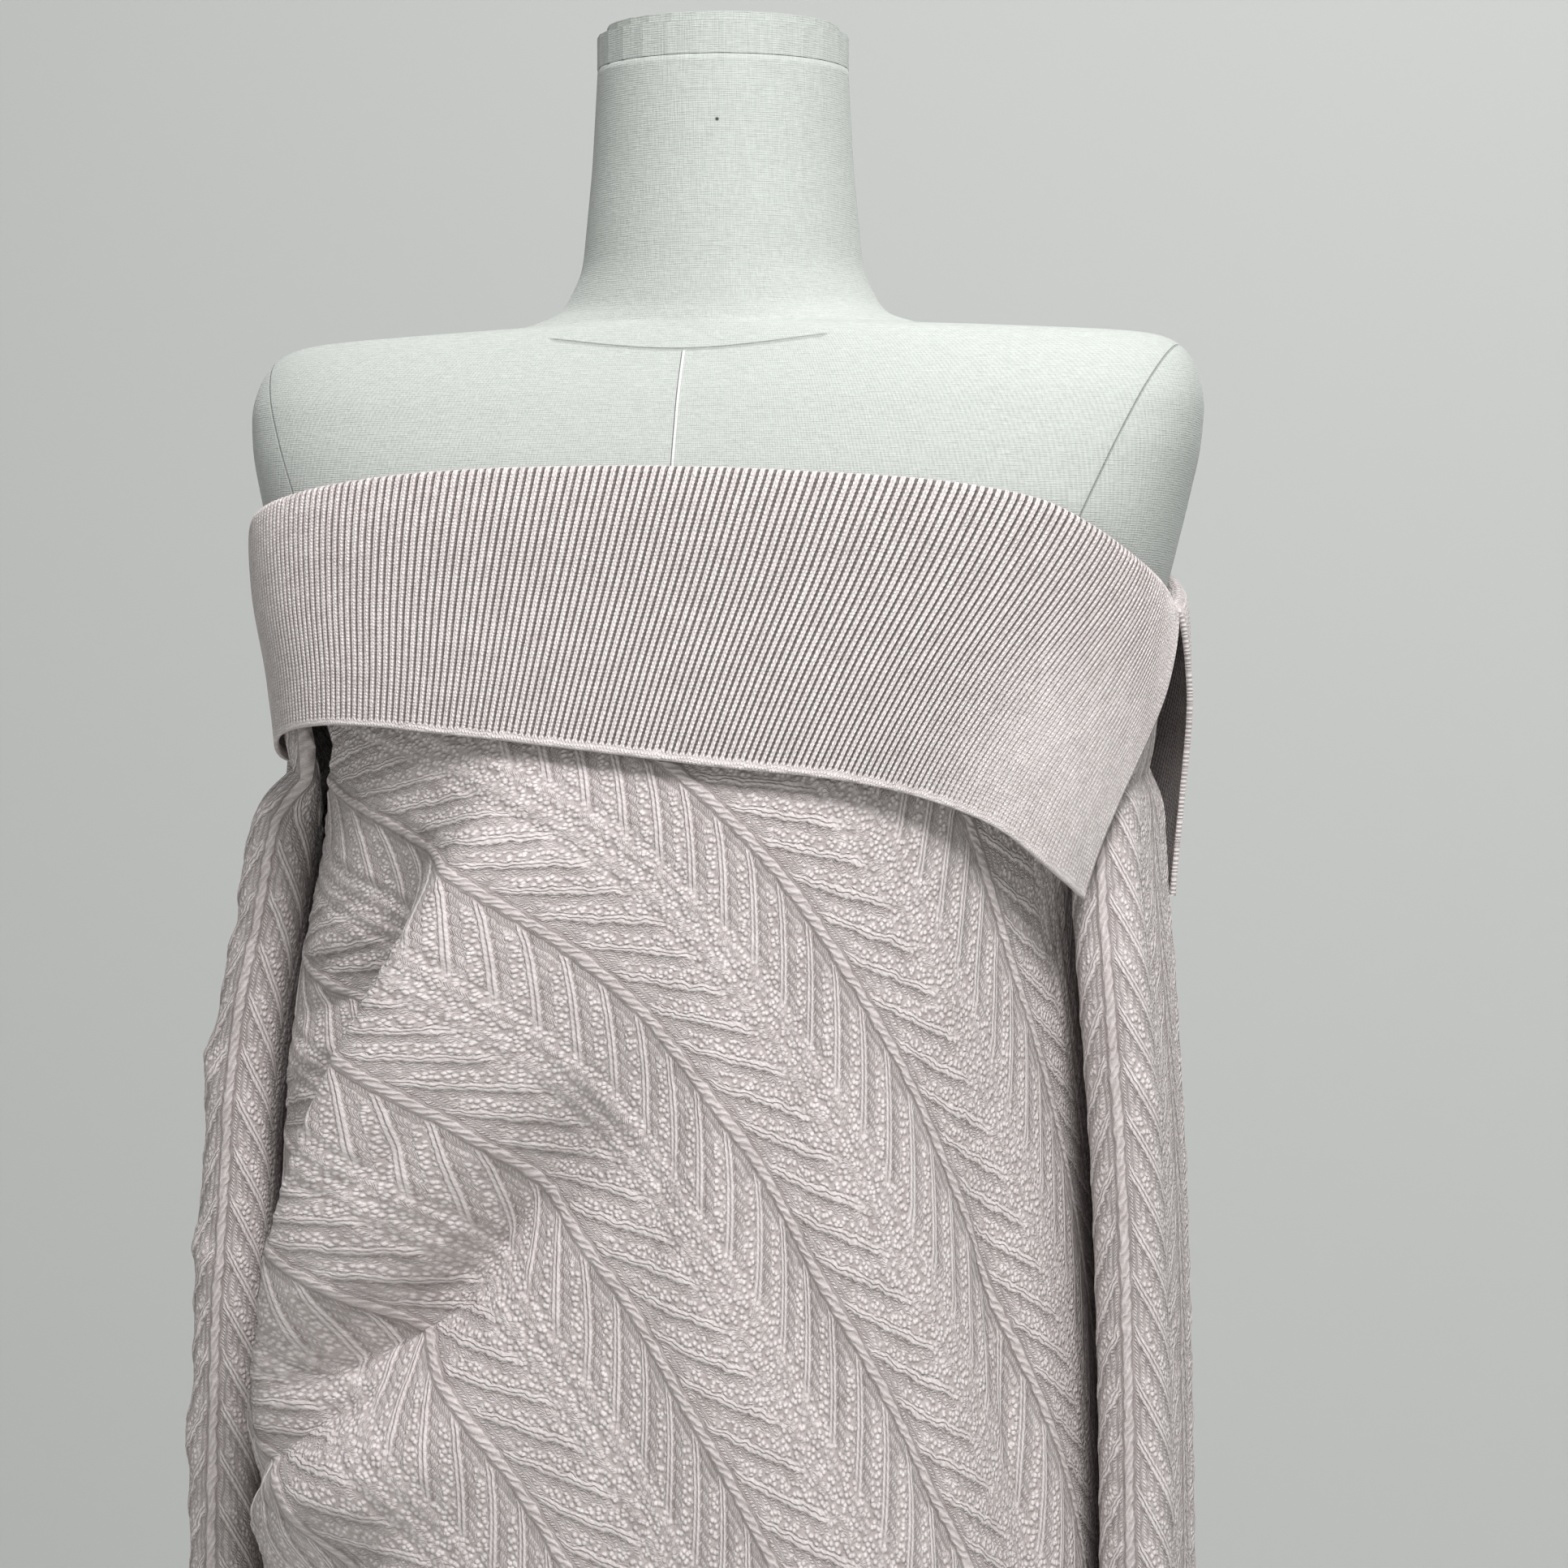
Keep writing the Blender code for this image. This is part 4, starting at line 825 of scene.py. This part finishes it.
def linen_material(name, sizes):
    """Fine plain-woven linen with faint slubs, sunk seams and a few pin holes."""
    nodes = Nodes(name)
    place = nodes.add("ShaderNodeTexCoord", {}, output="Object")
    parts = nodes.tree.nodes.new("ShaderNodeSeparateXYZ")
    nodes.put(parts.inputs[0], place)
    x, y, z = parts.outputs
    turn = nodes.math("ARCTAN2", y, x)
    warp = nodes.wave(nodes.times(turn, LINEN_REACH), sizes.thread)
    weft = nodes.wave(z, sizes.thread)
    slubs = [
        nodes.noise(nodes.add("ShaderNodeMapping", {"Vector": place, "Scale": scale}), 1.0)
        for scale in ((240, 240, 2200), (1700, 1700, 120))
    ]
    threads = nodes.total(*slubs, nodes.times(warp, 0.25), nodes.times(weft, 0.25))
    tone = nodes.add("ShaderNodeMapRange", {"Value": threads, "From Min": 0.85, "From Max": 1.65})
    colour = nodes.mix(tone, (*sizes.linen_deep, 1.0), (*sizes.linen_light, 1.0), "RGBA")
    side = nodes.math("ABSOLUTE", x)
    ahead = nodes.math("LESS_THAN", y, 0.0)
    radius = nodes.math("SQRT", nodes.total(nodes.times(x, x), nodes.times(y, y)))
    facing = nodes.math("MAXIMUM", nodes.math("DIVIDE", nodes.times(y, -1.0), radius), 0.0)
    droop = nodes.times(nodes.math("POWER", facing, 1.5), NECK_SEAM_DROOP)
    from_neck = nodes.math("ABSOLUTE", nodes.total(z, -NECK_SEAM_HEIGHT, droop))
    near_neck = nodes.step(radius, NECK_SEAM_REACH, NECK_SEAM_REACH - 0.002)
    neck_seam = nodes.times(nodes.step(from_neck, 0.0009, 0.0002), near_neck)
    arm_line = nodes.math("MULTIPLY_ADD", z, ARM_SEAM_LEAN, ARM_SEAM_SIDE)
    from_arm = nodes.math("ABSOLUTE", nodes.math("SUBTRACT", side, arm_line))
    below_shoulder = nodes.step(z, ARM_SEAM_TOP, ARM_SEAM_TOP - 0.004)
    arm_seam = nodes.times(nodes.step(from_arm, 0.0007, 0.0001), below_shoulder)
    below_neck = nodes.step(nodes.total(z, droop), NECK_SEAM_HEIGHT, NECK_SEAM_HEIGHT - 0.0004)
    front_seam = nodes.times(nodes.step(side, 0.0010, 0.0004), ahead, below_neck)
    stitch = nodes.math("MULTIPLY_ADD", nodes.wave(nodes.total(z, turn), SEAM_STITCH), 0.5, 0.5)
    sunk = nodes.total(neck_seam, nodes.times(arm_seam, stitch))
    pins = 0.0
    for pin in PINS:
        apart = nodes.add(
            "ShaderNodeVectorMath", {0: place, 1: pin}, output="Value", operation="DISTANCE"
        )
        pins = nodes.total(pins, nodes.step(apart, 0.0011, 0.0006))
    colour = nodes.mix(nodes.times(sunk, 0.40), colour, SEAM_DARK, "RGBA")
    colour = nodes.mix(nodes.times(front_seam, 0.5), colour, SEAM_PALE, "RGBA")
    colour = nodes.mix(pins, colour, PIN_DARK, "RGBA")
    nodes.put(nodes.shader.inputs["Base Color"], colour)
    relief = nodes.total(nodes.times(threads, 0.00022), nodes.times(front_seam, 0.0008))
    nodes.bump(nodes.math("SUBTRACT", relief, nodes.times(sunk, 0.0006)))
    nodes.shader.inputs["Roughness"].default_value = 0.92
    nodes.shader.inputs["Sheen Weight"].default_value = 0.15
    nodes.shader.inputs["Specular IOR Level"].default_value = 0.2
    return nodes.material


def plain_material(name, colour, roughness):
    """A smooth material of one colour."""
    nodes = Nodes(name)
    nodes.shader.inputs["Base Color"].default_value = (*colour, 1.0)
    nodes.shader.inputs["Roughness"].default_value = roughness
    return nodes.material


def vein_drop(away):
    """How far a vein has fallen at a distance from its stem."""
    return VEIN_FALL * (away / VEIN_REACH) ** VEIN_CURVE


def rimmed(count, low, high, inside=6):
    """Rows of a grid with its rims: which row each repeats, and 1 for the outer face or 0."""
    index = np.arange(count)
    lift = np.ones(count)
    if low:
        index = np.concatenate([[inside, 0], index])
        lift = np.concatenate([[0, 0], lift])
    if high:
        index = np.concatenate([index, [count - 1, count - 1 - inside]])
        lift = np.concatenate([lift, [0, 0]])
    return index, lift


def knit_coordinates(nodes):
    """A piece's own measure, made a little uneven: across, along, and both with a fine wobble."""
    flat = nodes.add("ShaderNodeUVMap", {}, uv_map="knit")
    parts = nodes.tree.nodes.new("ShaderNodeSeparateXYZ")
    nodes.put(parts.inputs[0], flat)
    wobble = nodes.math("SUBTRACT", nodes.noise(flat, 160.0), 0.5)
    across = nodes.math("MULTIPLY_ADD", wobble, 0.0030, parts.outputs[0])
    along = nodes.math("MULTIPLY_ADD", wobble, -0.0030, parts.outputs[1])
    return flat, across, along


def vees(nodes, across, along, wale, course):
    """Columns of V-shaped stitches, from 0 between them to 1 on the yarn."""
    leg = nodes.math("PINGPONG", across, wale / 2)
    slanted = nodes.math("MULTIPLY_ADD", leg, 0.9, along)
    rows = nodes.wave(slanted, course)
    columns = nodes.step(leg, 0.0, wale * 0.22)
    return nodes.times(rows, columns)


def knit_finish(nodes, sizes, flat, light, height):
    """Colour, bump and nap from how light and how high the knit is at a point. The lightness carries
    painted light and shade from the stitches, veins, curls and grooves, and the yarn's own fluff,
    marl and patches are added to it.
    """
    fluff = nodes.math("SUBTRACT", nodes.noise(flat, 2300.0, 3.0), 0.5)
    marl = nodes.math("SUBTRACT", nodes.noise(flat, 330.0, 3.0), 0.5)
    patch = nodes.math("SUBTRACT", nodes.noise(flat, 95.0, 2.0), 0.5)
    light = nodes.total(light, nodes.times(fluff, 0.60), nodes.times(marl, 0.45))
    light = nodes.total(light, nodes.times(patch, 0.30))
    share = nodes.add("ShaderNodeClamp", {0: light})
    # Painted shade pulls the colour toward the deep end and painted highlight toward the light end.
    # The fluff, marl and patches are the yarn's own uneven tone.
    deep, pale = (*sizes.deep_colour, 1.0), (*sizes.light_colour, 1.0)
    nodes.put(nodes.shader.inputs["Base Color"], nodes.mix(share, deep, pale, "RGBA"))
    nodes.bump(nodes.math("MULTIPLY_ADD", fluff, 0.00022, height))
    nodes.shader.inputs["Roughness"].default_value = 0.95
    nodes.shader.inputs["Sheen Weight"].default_value = 0.16
    nodes.shader.inputs["Sheen Roughness"].default_value = 0.45
    nodes.shader.inputs["Specular IOR Level"].default_value = 0.12
    return nodes.material


def leaf_material(name, sizes):
    """Leaf-patterned knit: corded stems, ladder-like veins, plain strips and pebbly strips."""
    nodes = Nodes(name)
    flat, across, along = knit_coordinates(nodes)
    down = nodes.times(along, -1.0)
    away = nodes.math("PINGPONG", across, STEM_SPACING / 2)
    reached = nodes.math("POWER", nodes.times(away, 1 / VEIN_REACH), VEIN_CURVE)
    fallen = nodes.math("SUBTRACT", down, nodes.times(reached, VEIN_FALL))
    phase = nodes.times(fallen, 1 / sizes.vein_spacing)
    near = nodes.math("PINGPONG", phase, 0.5)
    within = nodes.math("FRACT", phase)
    beyond = nodes.step(away, 0.0260, 0.0320)
    beside = nodes.window(away, 0.0026, 0.0046, 0.0270, 0.0350)
    strip = nodes.window(within, 0.42, 0.50, 0.80, 0.88)
    strip = nodes.times(strip, nodes.step(away, 0.0050, 0.0100))
    crest = math.pi / 2 - 2 * math.pi * 0.0310 / BAND_SPACING
    band = nodes.wave(away, BAND_SPACING, crest)
    band = nodes.math("MULTIPLY_ADD", band, 0.60, 0.40)
    pebbly = nodes.math("MAXIMUM", nodes.times(strip, 0.9), nodes.times(beyond, band))
    stitches = vees(nodes, away, fallen, sizes.wale, sizes.course)
    curls = nodes.add(
        "ShaderNodeTexVoronoi",
        {"Vector": flat, "Scale": 1 / sizes.pebble, "Randomness": 0.9},
        voronoi_dimensions="2D",
    )
    curl = nodes.step(curls, 0.62, 0.12)
    ridge = nodes.step(near, 0.150, 0.085)
    split = nodes.step(near, 0.040, 0.0)
    rungs = nodes.wave(away, 0.0017)
    vein = nodes.times(ridge, beside)
    trough = nodes.times(nodes.window(within, 0.13, 0.18, 0.20, 0.28), beside)
    above = nodes.times(nodes.window(within, 0.80, 0.84, 0.85, 0.90), beside)
    cord = nodes.step(away, 0.0024, 0.0014)
    twist = nodes.wave(nodes.math("MULTIPLY_ADD", across, 1.6, down), 0.0048)
    gutter = nodes.window(away, 0.0016, 0.0026, 0.0030, 0.0046)
    # Painted light and shade: the stitches' yarn is lighter than the gaps between them, and each
    # curl of the pebbly knit has a painted highlight in its middle. The raised veins are painted
    # lighter with a shaded split, and the cord's twist is painted in light and shaded stripes.
    light = nodes.math("MULTIPLY_ADD", stitches, 0.28, 0.38)
    light = nodes.mix(pebbly, light, nodes.math("MULTIPLY_ADD", curl, 0.50, 0.36))
    veined = nodes.math("MULTIPLY_ADD", rungs, 0.18, 0.60)
    veined = nodes.math("SUBTRACT", veined, nodes.times(split, 0.30))
    light = nodes.mix(vein, light, veined)
    light = nodes.mix(cord, light, nodes.math("MULTIPLY_ADD", twist, 0.20, 0.42))
    # Painted shade: the trough below each vein, the strip just above each vein and the gutters
    # beside the stems are darkened in colour. The same mask also sinks them in the bump.
    shades = ((trough, 0.17), (above, 0.08), (gutter, 0.15))
    painted_groove_shade = nodes.total(*(nodes.times(place, share) for place, share in shades))
    light = nodes.math("SUBTRACT", light, painted_groove_shade)
    height = nodes.times(stitches, sizes.stitch_depth)
    height = nodes.mix(pebbly, height, nodes.math("MULTIPLY_ADD", curl, 0.0007, 0.0003))
    raised = nodes.math("MULTIPLY_ADD", split, -0.0005, 0.0006)
    height = nodes.mix(vein, height, raised)
    height = nodes.mix(cord, height, nodes.math("MULTIPLY_ADD", twist, 0.0004, 0.0004))
    height = nodes.math("SUBTRACT", height, nodes.times(painted_groove_shade, 0.0016))
    return knit_finish(nodes, sizes, flat, light, height)


def rib_material(name, sizes):
    """Fine ribs: pale double columns between grooves darkened with painted shade, weaker where the
    rib is stretched.
    """
    nodes = Nodes(name)
    flat, across, along = knit_coordinates(nodes)
    tight = nodes.attribute("tight")
    edge = nodes.step(along, -FLAP_PATH + CAST_OFF + 0.0008, -FLAP_PATH + CAST_OFF - 0.0004)
    ribbed = nodes.times(tight, nodes.math("SUBTRACT", 1.0, edge))
    plain = nodes.tree.nodes.new("ShaderNodeSeparateXYZ")
    nodes.put(plain.inputs[0], flat)
    column = nodes.math("PINGPONG", plain.outputs[0], sizes.rib_spacing / 2)
    groove = nodes.times(nodes.step(column, sizes.rib_spacing * 0.23, 0.0), ribbed)
    middle = nodes.step(column, sizes.rib_spacing * 0.44, sizes.rib_spacing * 0.50)
    stitches = vees(nodes, across, along, sizes.rib_spacing / 2, 0.0016)
    # Painted shade: the stitches' yarn is lighter than the gaps between them, and the grooves
    # between the ribs are darkened in colour. The split in the middle of each rib is darkened a
    # little too, less where the rib is stretched.
    light = nodes.math("MULTIPLY_ADD", stitches, 0.34, 0.58)
    light = nodes.math("SUBTRACT", light, nodes.times(groove, 0.80))
    light = nodes.math("SUBTRACT", light, nodes.times(middle, ribbed, 0.18))
    height = nodes.times(stitches, 0.0003)
    height = nodes.math("SUBTRACT", height, nodes.times(groove, 0.0014))
    return knit_finish(nodes, sizes, flat, light, height)


def rounded_profile(sizes, spacing, rounding):
    """A table's columns along its own profile, with rounded corners."""
    run = np.hypot(np.diff(sizes["width"]), np.diff(sizes["height"]))
    run = np.concatenate([[0], np.cumsum(run)])
    at = np.linspace(0, run[-1], round(run[-1] / spacing))
    reach = round(3 * rounding / spacing)
    weights = np.exp(-0.5 * (np.arange(-reach, reach + 1) * spacing / rounding) ** 2)
    weights /= weights.sum()
    rounded = {}
    for key, values in sizes.items():
        line = np.interp(at, run, values)
        before, after = 2 * line[0] - line[reach:0:-1], 2 * line[-1] - line[-2 : -reach - 2 : -1]
        rounded[key] = np.convolve(np.concatenate([before, line, after]), weights, "valid")
    return rounded


def cloth_piece(obj, node, material):
    """Gives a finished shell its material, hangs it from the root body and hides the solid it stands
    for.
    """
    obj.data.materials.append(material)
    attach(obj, "root")
    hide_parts(node)


def length_property(name, value, description):
    """A length in metres."""
    return bpy.props.FloatProperty(
        name=name, default=value, description=description, unit="LENGTH", precision=5
    )


def colour_property(name, value, description):
    """A colour's red, green and blue."""
    return bpy.props.FloatVectorProperty(
        name=name, default=value, description=description, subtype="COLOR", min=0.0, max=1.0
    )


class SweaterKnit(bpy.types.PropertyGroup):
    """Sizes and colours of the knit."""

    stem_rise: length_property("Stem rise", 0.0010, "Height of the stems over the knit")
    vein_rise: length_property("Vein rise", 0.0006, "Height of the veins over the knit")
    vein_spacing: length_property("Vein spacing", 0.0210, "Distance between veins down a stem")
    rib_spacing: length_property("Rib spacing", 0.00270, "Distance between the collar's ribs")
    rib_rise: length_property("Rib rise", 0.0007, "Height of the collar's ribs")
    wale: length_property("Wale", 0.0030, "Width of two columns of stitches")
    course: length_property("Course", 0.0014, "Height of one row of stitches")
    pebble: length_property("Pebble", 0.0024, "Size of the pebbly knit's curls")
    stitch_depth: length_property("Stitch depth", 0.0004, "Depth of the stitches' bump")
    cell: length_property("Cell", 0.00165, "Size of a shell's cells")
    # Deep is the painted shade between the stitches and in the grooves, and the deeper end of the
    # yarn's marl. Light is the yarn's fluff and the painted highlights.
    deep_colour: colour_property("Deep", (0.22, 0.175, 0.165), "Colour between the stitches")
    light_colour: colour_property("Light", (0.93, 0.865, 0.855), "Colour of the yarn's fluff")


class SweaterForm(bpy.types.PropertyGroup):
    """Sizes and colours of the dress form."""

    thread: length_property("Thread", 0.0009, "Distance between the linen's threads")
    linen_deep: colour_property("Linen, deep", (0.420, 0.442, 0.418), "Colour between the threads")
    linen_light: colour_property("Linen, light", (0.560, 0.588, 0.558), "Colour of the threads")
    sides: bpy.props.IntProperty(name="Sides", default=192, description="Sides of the form's rings")


class SweaterStudio(bpy.types.PropertyGroup):
    """The camera and the light."""

    azimuth: bpy.props.FloatProperty(
        name="Azimuth", default=math.radians(12.2), description="Camera's turn", subtype="ANGLE"
    )
    distance: length_property("Distance", 2.0, "Camera's distance from the neck's axis")
    height: length_property("Height", 0.667, "Camera's height")
    aside: length_property("Aside", 0.025, "How far the camera stands to its own right")
    lens: bpy.props.FloatProperty(
        name="Lens", default=111.8, description="Focal length in millimetres"
    )
    surround: bpy.props.FloatProperty(
        name="Surround", default=0.25, description="Strength of the light from all around"
    )
    wall_colour: colour_property("Wall", (0.625, 0.638, 0.622), "Colour of the backdrop")


class OBJECT_OT_sweater_body(bpy.types.Operator):
    """Adds the front and back panels"""

    bl_idname = "object.sweater_body"
    bl_label = "Body panels"

    def execute(self, context):
        knit = context.scene.sweater_knit
        material = leaf_material("leaf_knit", knit)
        quarter = math.pi / 2 * SPREAD
        corner = math.radians(ARMHOLE_ANGLE - ARMHOLE_HALF_TOP) * SPREAD
        rims = ("low", "ends")
        for node, middle, pattern, coarse in (
            ("front_body", 0.0, front_pattern, 1.0),
            ("back_body", 2 * quarter, back_pattern, BACK_CELL),
        ):
            low, high = middle - quarter + GAP, middle + quarter - GAP
            breaks = (middle - corner, middle + corner)
            grid = panel_grid(low, high, HEM_HEIGHT, body_top, knit.cell * coarse, breaks)
            stem, along = pattern(*grid)
            hem = 1 - eased((grid[1] - HEM_HEIGHT) / HEM_BAND)
            rise = leaf_rise(stem, along, knit) * (1 - hem) + HEM_RISE * hem
            layers = {"u": stem * STEM_SPACING, "v": -along}
            name = f"{node}_knit"
            obj = shell(name, body_surface, grid, rise, WALL, layers, NORMAL_STEP, rims)
            cloth_piece(obj, node, material)
        return {"FINISHED"}


class OBJECT_OT_sweater_sleeves(bpy.types.Operator):
    """Adds the two sleeves"""

    bl_idname = "object.sweater_sleeves"
    bl_label = "Sleeves"

    def execute(self, context):
        knit = context.scene.sweater_knit
        material = bpy.data.materials["leaf_knit"]
        half = SLEEVE_ROUND / 2
        for name, side in (("left", -1), ("right", 1)):
            cell = knit.cell * SLEEVE_CELL
            grid = panel_grid(-half, half, CUFF_HEIGHT, sleeve_top(side), cell)
            stem, along = sleeve_pattern(*grid)
            rise = leaf_rise(stem, along, knit)
            layers = {"u": stem * STEM_SPACING, "v": -along}
            node = f"sleeve_{name}"
            surface, piece = sleeve_surface(name), f"{node}_knit"
            obj = shell(piece, surface, grid, rise, WALL, layers, NORMAL_STEP, ("low",))
            cloth_piece(obj, node, material)
        return {"FINISHED"}


def flap_paths():
    """Places down a collar half, from its hem to its seam, closer at the hem and the fold."""
    stretches = (
        (-FLAP_PATH, -FLAP_PATH + 0.006, 10),
        (-FLAP_PATH + 0.006, -0.012, 24),
        (-0.012, 0.006, 26),
    )
    parts = [np.linspace(start, end, count)[:-1] for start, end, count in stretches]
    return np.concatenate([*parts, np.linspace(0.006, LEG_PATH, 4)])


def rib_tightness(name, angle, ahead):
    """How closed the ribs are, from 1 down to 0, at an angle and a share of the way to the hem."""
    if name == "back":
        return 1 - 0.30 * eased((ahead - 0.3) / 0.5)
    tight = 1 - 0.85 * eased((-36 - angle) / 30)
    return tight * (1 - 0.80 * eased((angle - 40) / 26) * eased((ahead - 0.15) / 0.5))


class OBJECT_OT_sweater_collar(bpy.types.Operator):
    """Adds the two halves of the folded collar"""

    bl_idname = "object.sweater_collar"
    bl_label = "Collar"

    def execute(self, context):
        knit = context.scene.sweater_knit
        material = rib_material("rib_knit", knit)
        rims = ("low", "high", "ends")
        for name in ("front", "back"):
            stations = FLAPS[name]["fold_angle"]
            low, high = np.radians((stations[0], stations[-1])) * SPREAD
            count = round((high - low) / knit.rib_spacing * RIB_CELLS) + 1
            across, path = grid = np.meshgrid(np.linspace(low, high, count), flap_paths())
            ahead = np.clip(-path / FLAP_PATH, 0, 1)
            tight = rib_tightness(name, np.degrees(across / SPREAD), ahead)
            rise = rib_rise(across, path, knit.rib_spacing, knit.rib_rise * tight)
            layers = {"u": across, "v": path, "tight": tight}
            surface, piece = flap_surface(name), f"collar_{name}_knit"
            obj = shell(piece, surface, grid, rise, RIB_WALL, layers, RIB_NORMAL_STEP, rims)
            cloth_piece(obj, f"collar_{name}", material)
        return {"FINISHED"}


class OBJECT_OT_sweater_form(bpy.types.Operator):
    """Adds the smooth linen dress form with its seams and cap"""

    bl_idname = "object.sweater_form"
    bl_label = "Dress form"

    def execute(self, context):
        form = context.scene.sweater_form
        linen = linen_material("linen", form)
        sides = np.linspace(0, 2 * math.pi, form.sides, endpoint=False)
        size = rounded_profile(FORM, PROFILE_SPACING, PROFILE_ROUNDING)
        names = ("width", "width", "front", "back", "square")
        x, y = oval_point(sides[None, :], *(size[key][:, None] for key in names))
        points = np.stack([x, y, size["height"][:, None] + 0 * x], -1)
        index = np.arange(x.size).reshape(x.shape)
        beside = np.roll(index, -1, axis=1)
        quads = np.stack([index[:-1], beside[:-1], beside[1:], index[1:]], -1).reshape(-1, 4)
        flat = {"u": points[..., 0].ravel(), "v": points[..., 2].ravel()}
        body = grid_object("dress_form_linen", points.reshape(-1, 3), quads, flat)
        mesh = bmesh.new()
        mesh.from_mesh(body.data)
        mesh.verts.ensure_lookup_table()
        mesh.faces.new([mesh.verts[i] for i in index[0][::-1]])
        mesh.faces.new([mesh.verts[i] for i in index[-1]])
        mesh.to_mesh(body.data)
        mesh.free()
        body.data.materials.append(linen)
        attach(body, "root")
        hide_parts("dress_form")
        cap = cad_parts["neck_cap"]
        cap.data.materials.clear()
        cap.data.materials.append(linen)
        return {"FINISHED"}


class OBJECT_OT_sweater_stand(bpy.types.Operator):
    """Gives the stand its painted finish"""

    bl_idname = "object.sweater_stand"
    bl_label = "Stand"

    def execute(self, context):
        paint = plain_material("stand_paint", STAND_COLOUR, 0.4)
        for node in ("stand_post", "stand_base"):
            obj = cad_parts[node]
            obj.data.materials.clear()
            obj.data.materials.append(paint)
        return {"FINISHED"}


def add_area_light(name, place, aim, size, power):
    """A square white light at a place, turned to what it is aimed at."""
    light = bpy.data.lights.new(name, "AREA")
    light.shape = "SQUARE"
    light.size = size
    light.energy = power
    obj = bpy.data.objects.new(name, light)
    obj.location = place
    toward = Vector(aim) - Vector(place)
    obj.rotation_euler = toward.to_track_quat("-Z", "Y").to_euler()
    bpy.context.scene.collection.objects.link(obj)


class OBJECT_OT_sweater_stage(bpy.types.Operator):
    """Adds the backdrop, the floor, the light and the camera"""

    bl_idname = "object.sweater_stage"
    bl_label = "Studio"

    def execute(self, context):
        studio = context.scene.sweater_studio
        scene = context.scene
        wall = plain_material("backdrop", tuple(studio.wall_colour), 0.95)
        for name, place, turn in (
            ("floor", (0, 0, -0.0005), (0, 0, 0)),
            ("backdrop", (0, 1.3, 2.0), (math.pi / 2, 0, 0)),
        ):
            bpy.ops.mesh.primitive_plane_add(size=STAGE_SIZE, location=place, rotation=turn)
            plane = context.object
            plane.name = name
            plane.data.materials.append(wall)
        for light in LIGHTS:
            add_area_light(*light)
        world = bpy.data.worlds.new("studio") if scene.world is None else scene.world
        scene.world = world
        world.use_nodes = True
        background = world.node_tree.nodes["Background"]
        background.inputs["Color"].default_value = (1.0, 1.0, 1.0, 1.0)
        background.inputs["Strength"].default_value = studio.surround
        scene.view_settings.view_transform = "Standard"
        camera = bpy.data.cameras.new("camera")
        camera.lens = studio.lens
        camera.sensor_width = SENSOR_WIDTH
        obj = bpy.data.objects.new("camera", camera)
        turn = studio.azimuth
        right = np.array((math.cos(turn), math.sin(turn), 0.0)) * studio.aside
        back = np.array((math.sin(turn), -math.cos(turn), 0.0)) * studio.distance
        obj.location = right + back + (0, 0, studio.height)
        obj.rotation_euler = (math.pi / 2, 0, turn)
        scene.collection.objects.link(obj)
        scene.camera = obj
        return {"FINISHED"}


class VIEW3D_PT_sweater(bpy.types.Panel):
    """Sizes, colours and the buttons that add the pieces"""

    bl_label = "Sweater"
    bl_idname = "VIEW3D_PT_sweater"
    bl_space_type = "VIEW_3D"
    bl_region_type = "UI"
    bl_category = "Sweater"

    def draw(self, context):
        for group in ("sweater_knit", "sweater_form", "sweater_studio"):
            box = self.layout.box()
            values = getattr(context.scene, group)
            for key in values.__annotations__:
                box.prop(values, key)
        for operator in OPERATORS:
            self.layout.operator(operator.bl_idname)


GROUPS = {
    "sweater_knit": SweaterKnit,
    "sweater_form": SweaterForm,
    "sweater_studio": SweaterStudio,
}
OPERATORS = (
    OBJECT_OT_sweater_body,
    OBJECT_OT_sweater_sleeves,
    OBJECT_OT_sweater_collar,
    OBJECT_OT_sweater_form,
    OBJECT_OT_sweater_stand,
    OBJECT_OT_sweater_stage,
)


def register():
    """Adds the property groups, the operators and the panel to Blender."""
    for name, group in GROUPS.items():
        bpy.utils.register_class(group)
        setattr(bpy.types.Scene, name, bpy.props.PointerProperty(type=group))
    for operator in OPERATORS:
        bpy.utils.register_class(operator)
    bpy.utils.register_class(VIEW3D_PT_sweater)


def unregister():
    """Takes them out again."""
    bpy.utils.unregister_class(VIEW3D_PT_sweater)
    for operator in reversed(OPERATORS):
        bpy.utils.unregister_class(operator)
    for name, group in reversed(GROUPS.items()):
        delattr(bpy.types.Scene, name)
        bpy.utils.unregister_class(group)


def main():
    """Adds the pieces and the stage in order."""
    register()
    bpy.ops.object.sweater_body()
    bpy.ops.object.sweater_sleeves()
    bpy.ops.object.sweater_collar()
    bpy.ops.object.sweater_form()
    bpy.ops.object.sweater_stand()
    bpy.ops.object.sweater_stage()


if __name__ == "__main__":
    main()
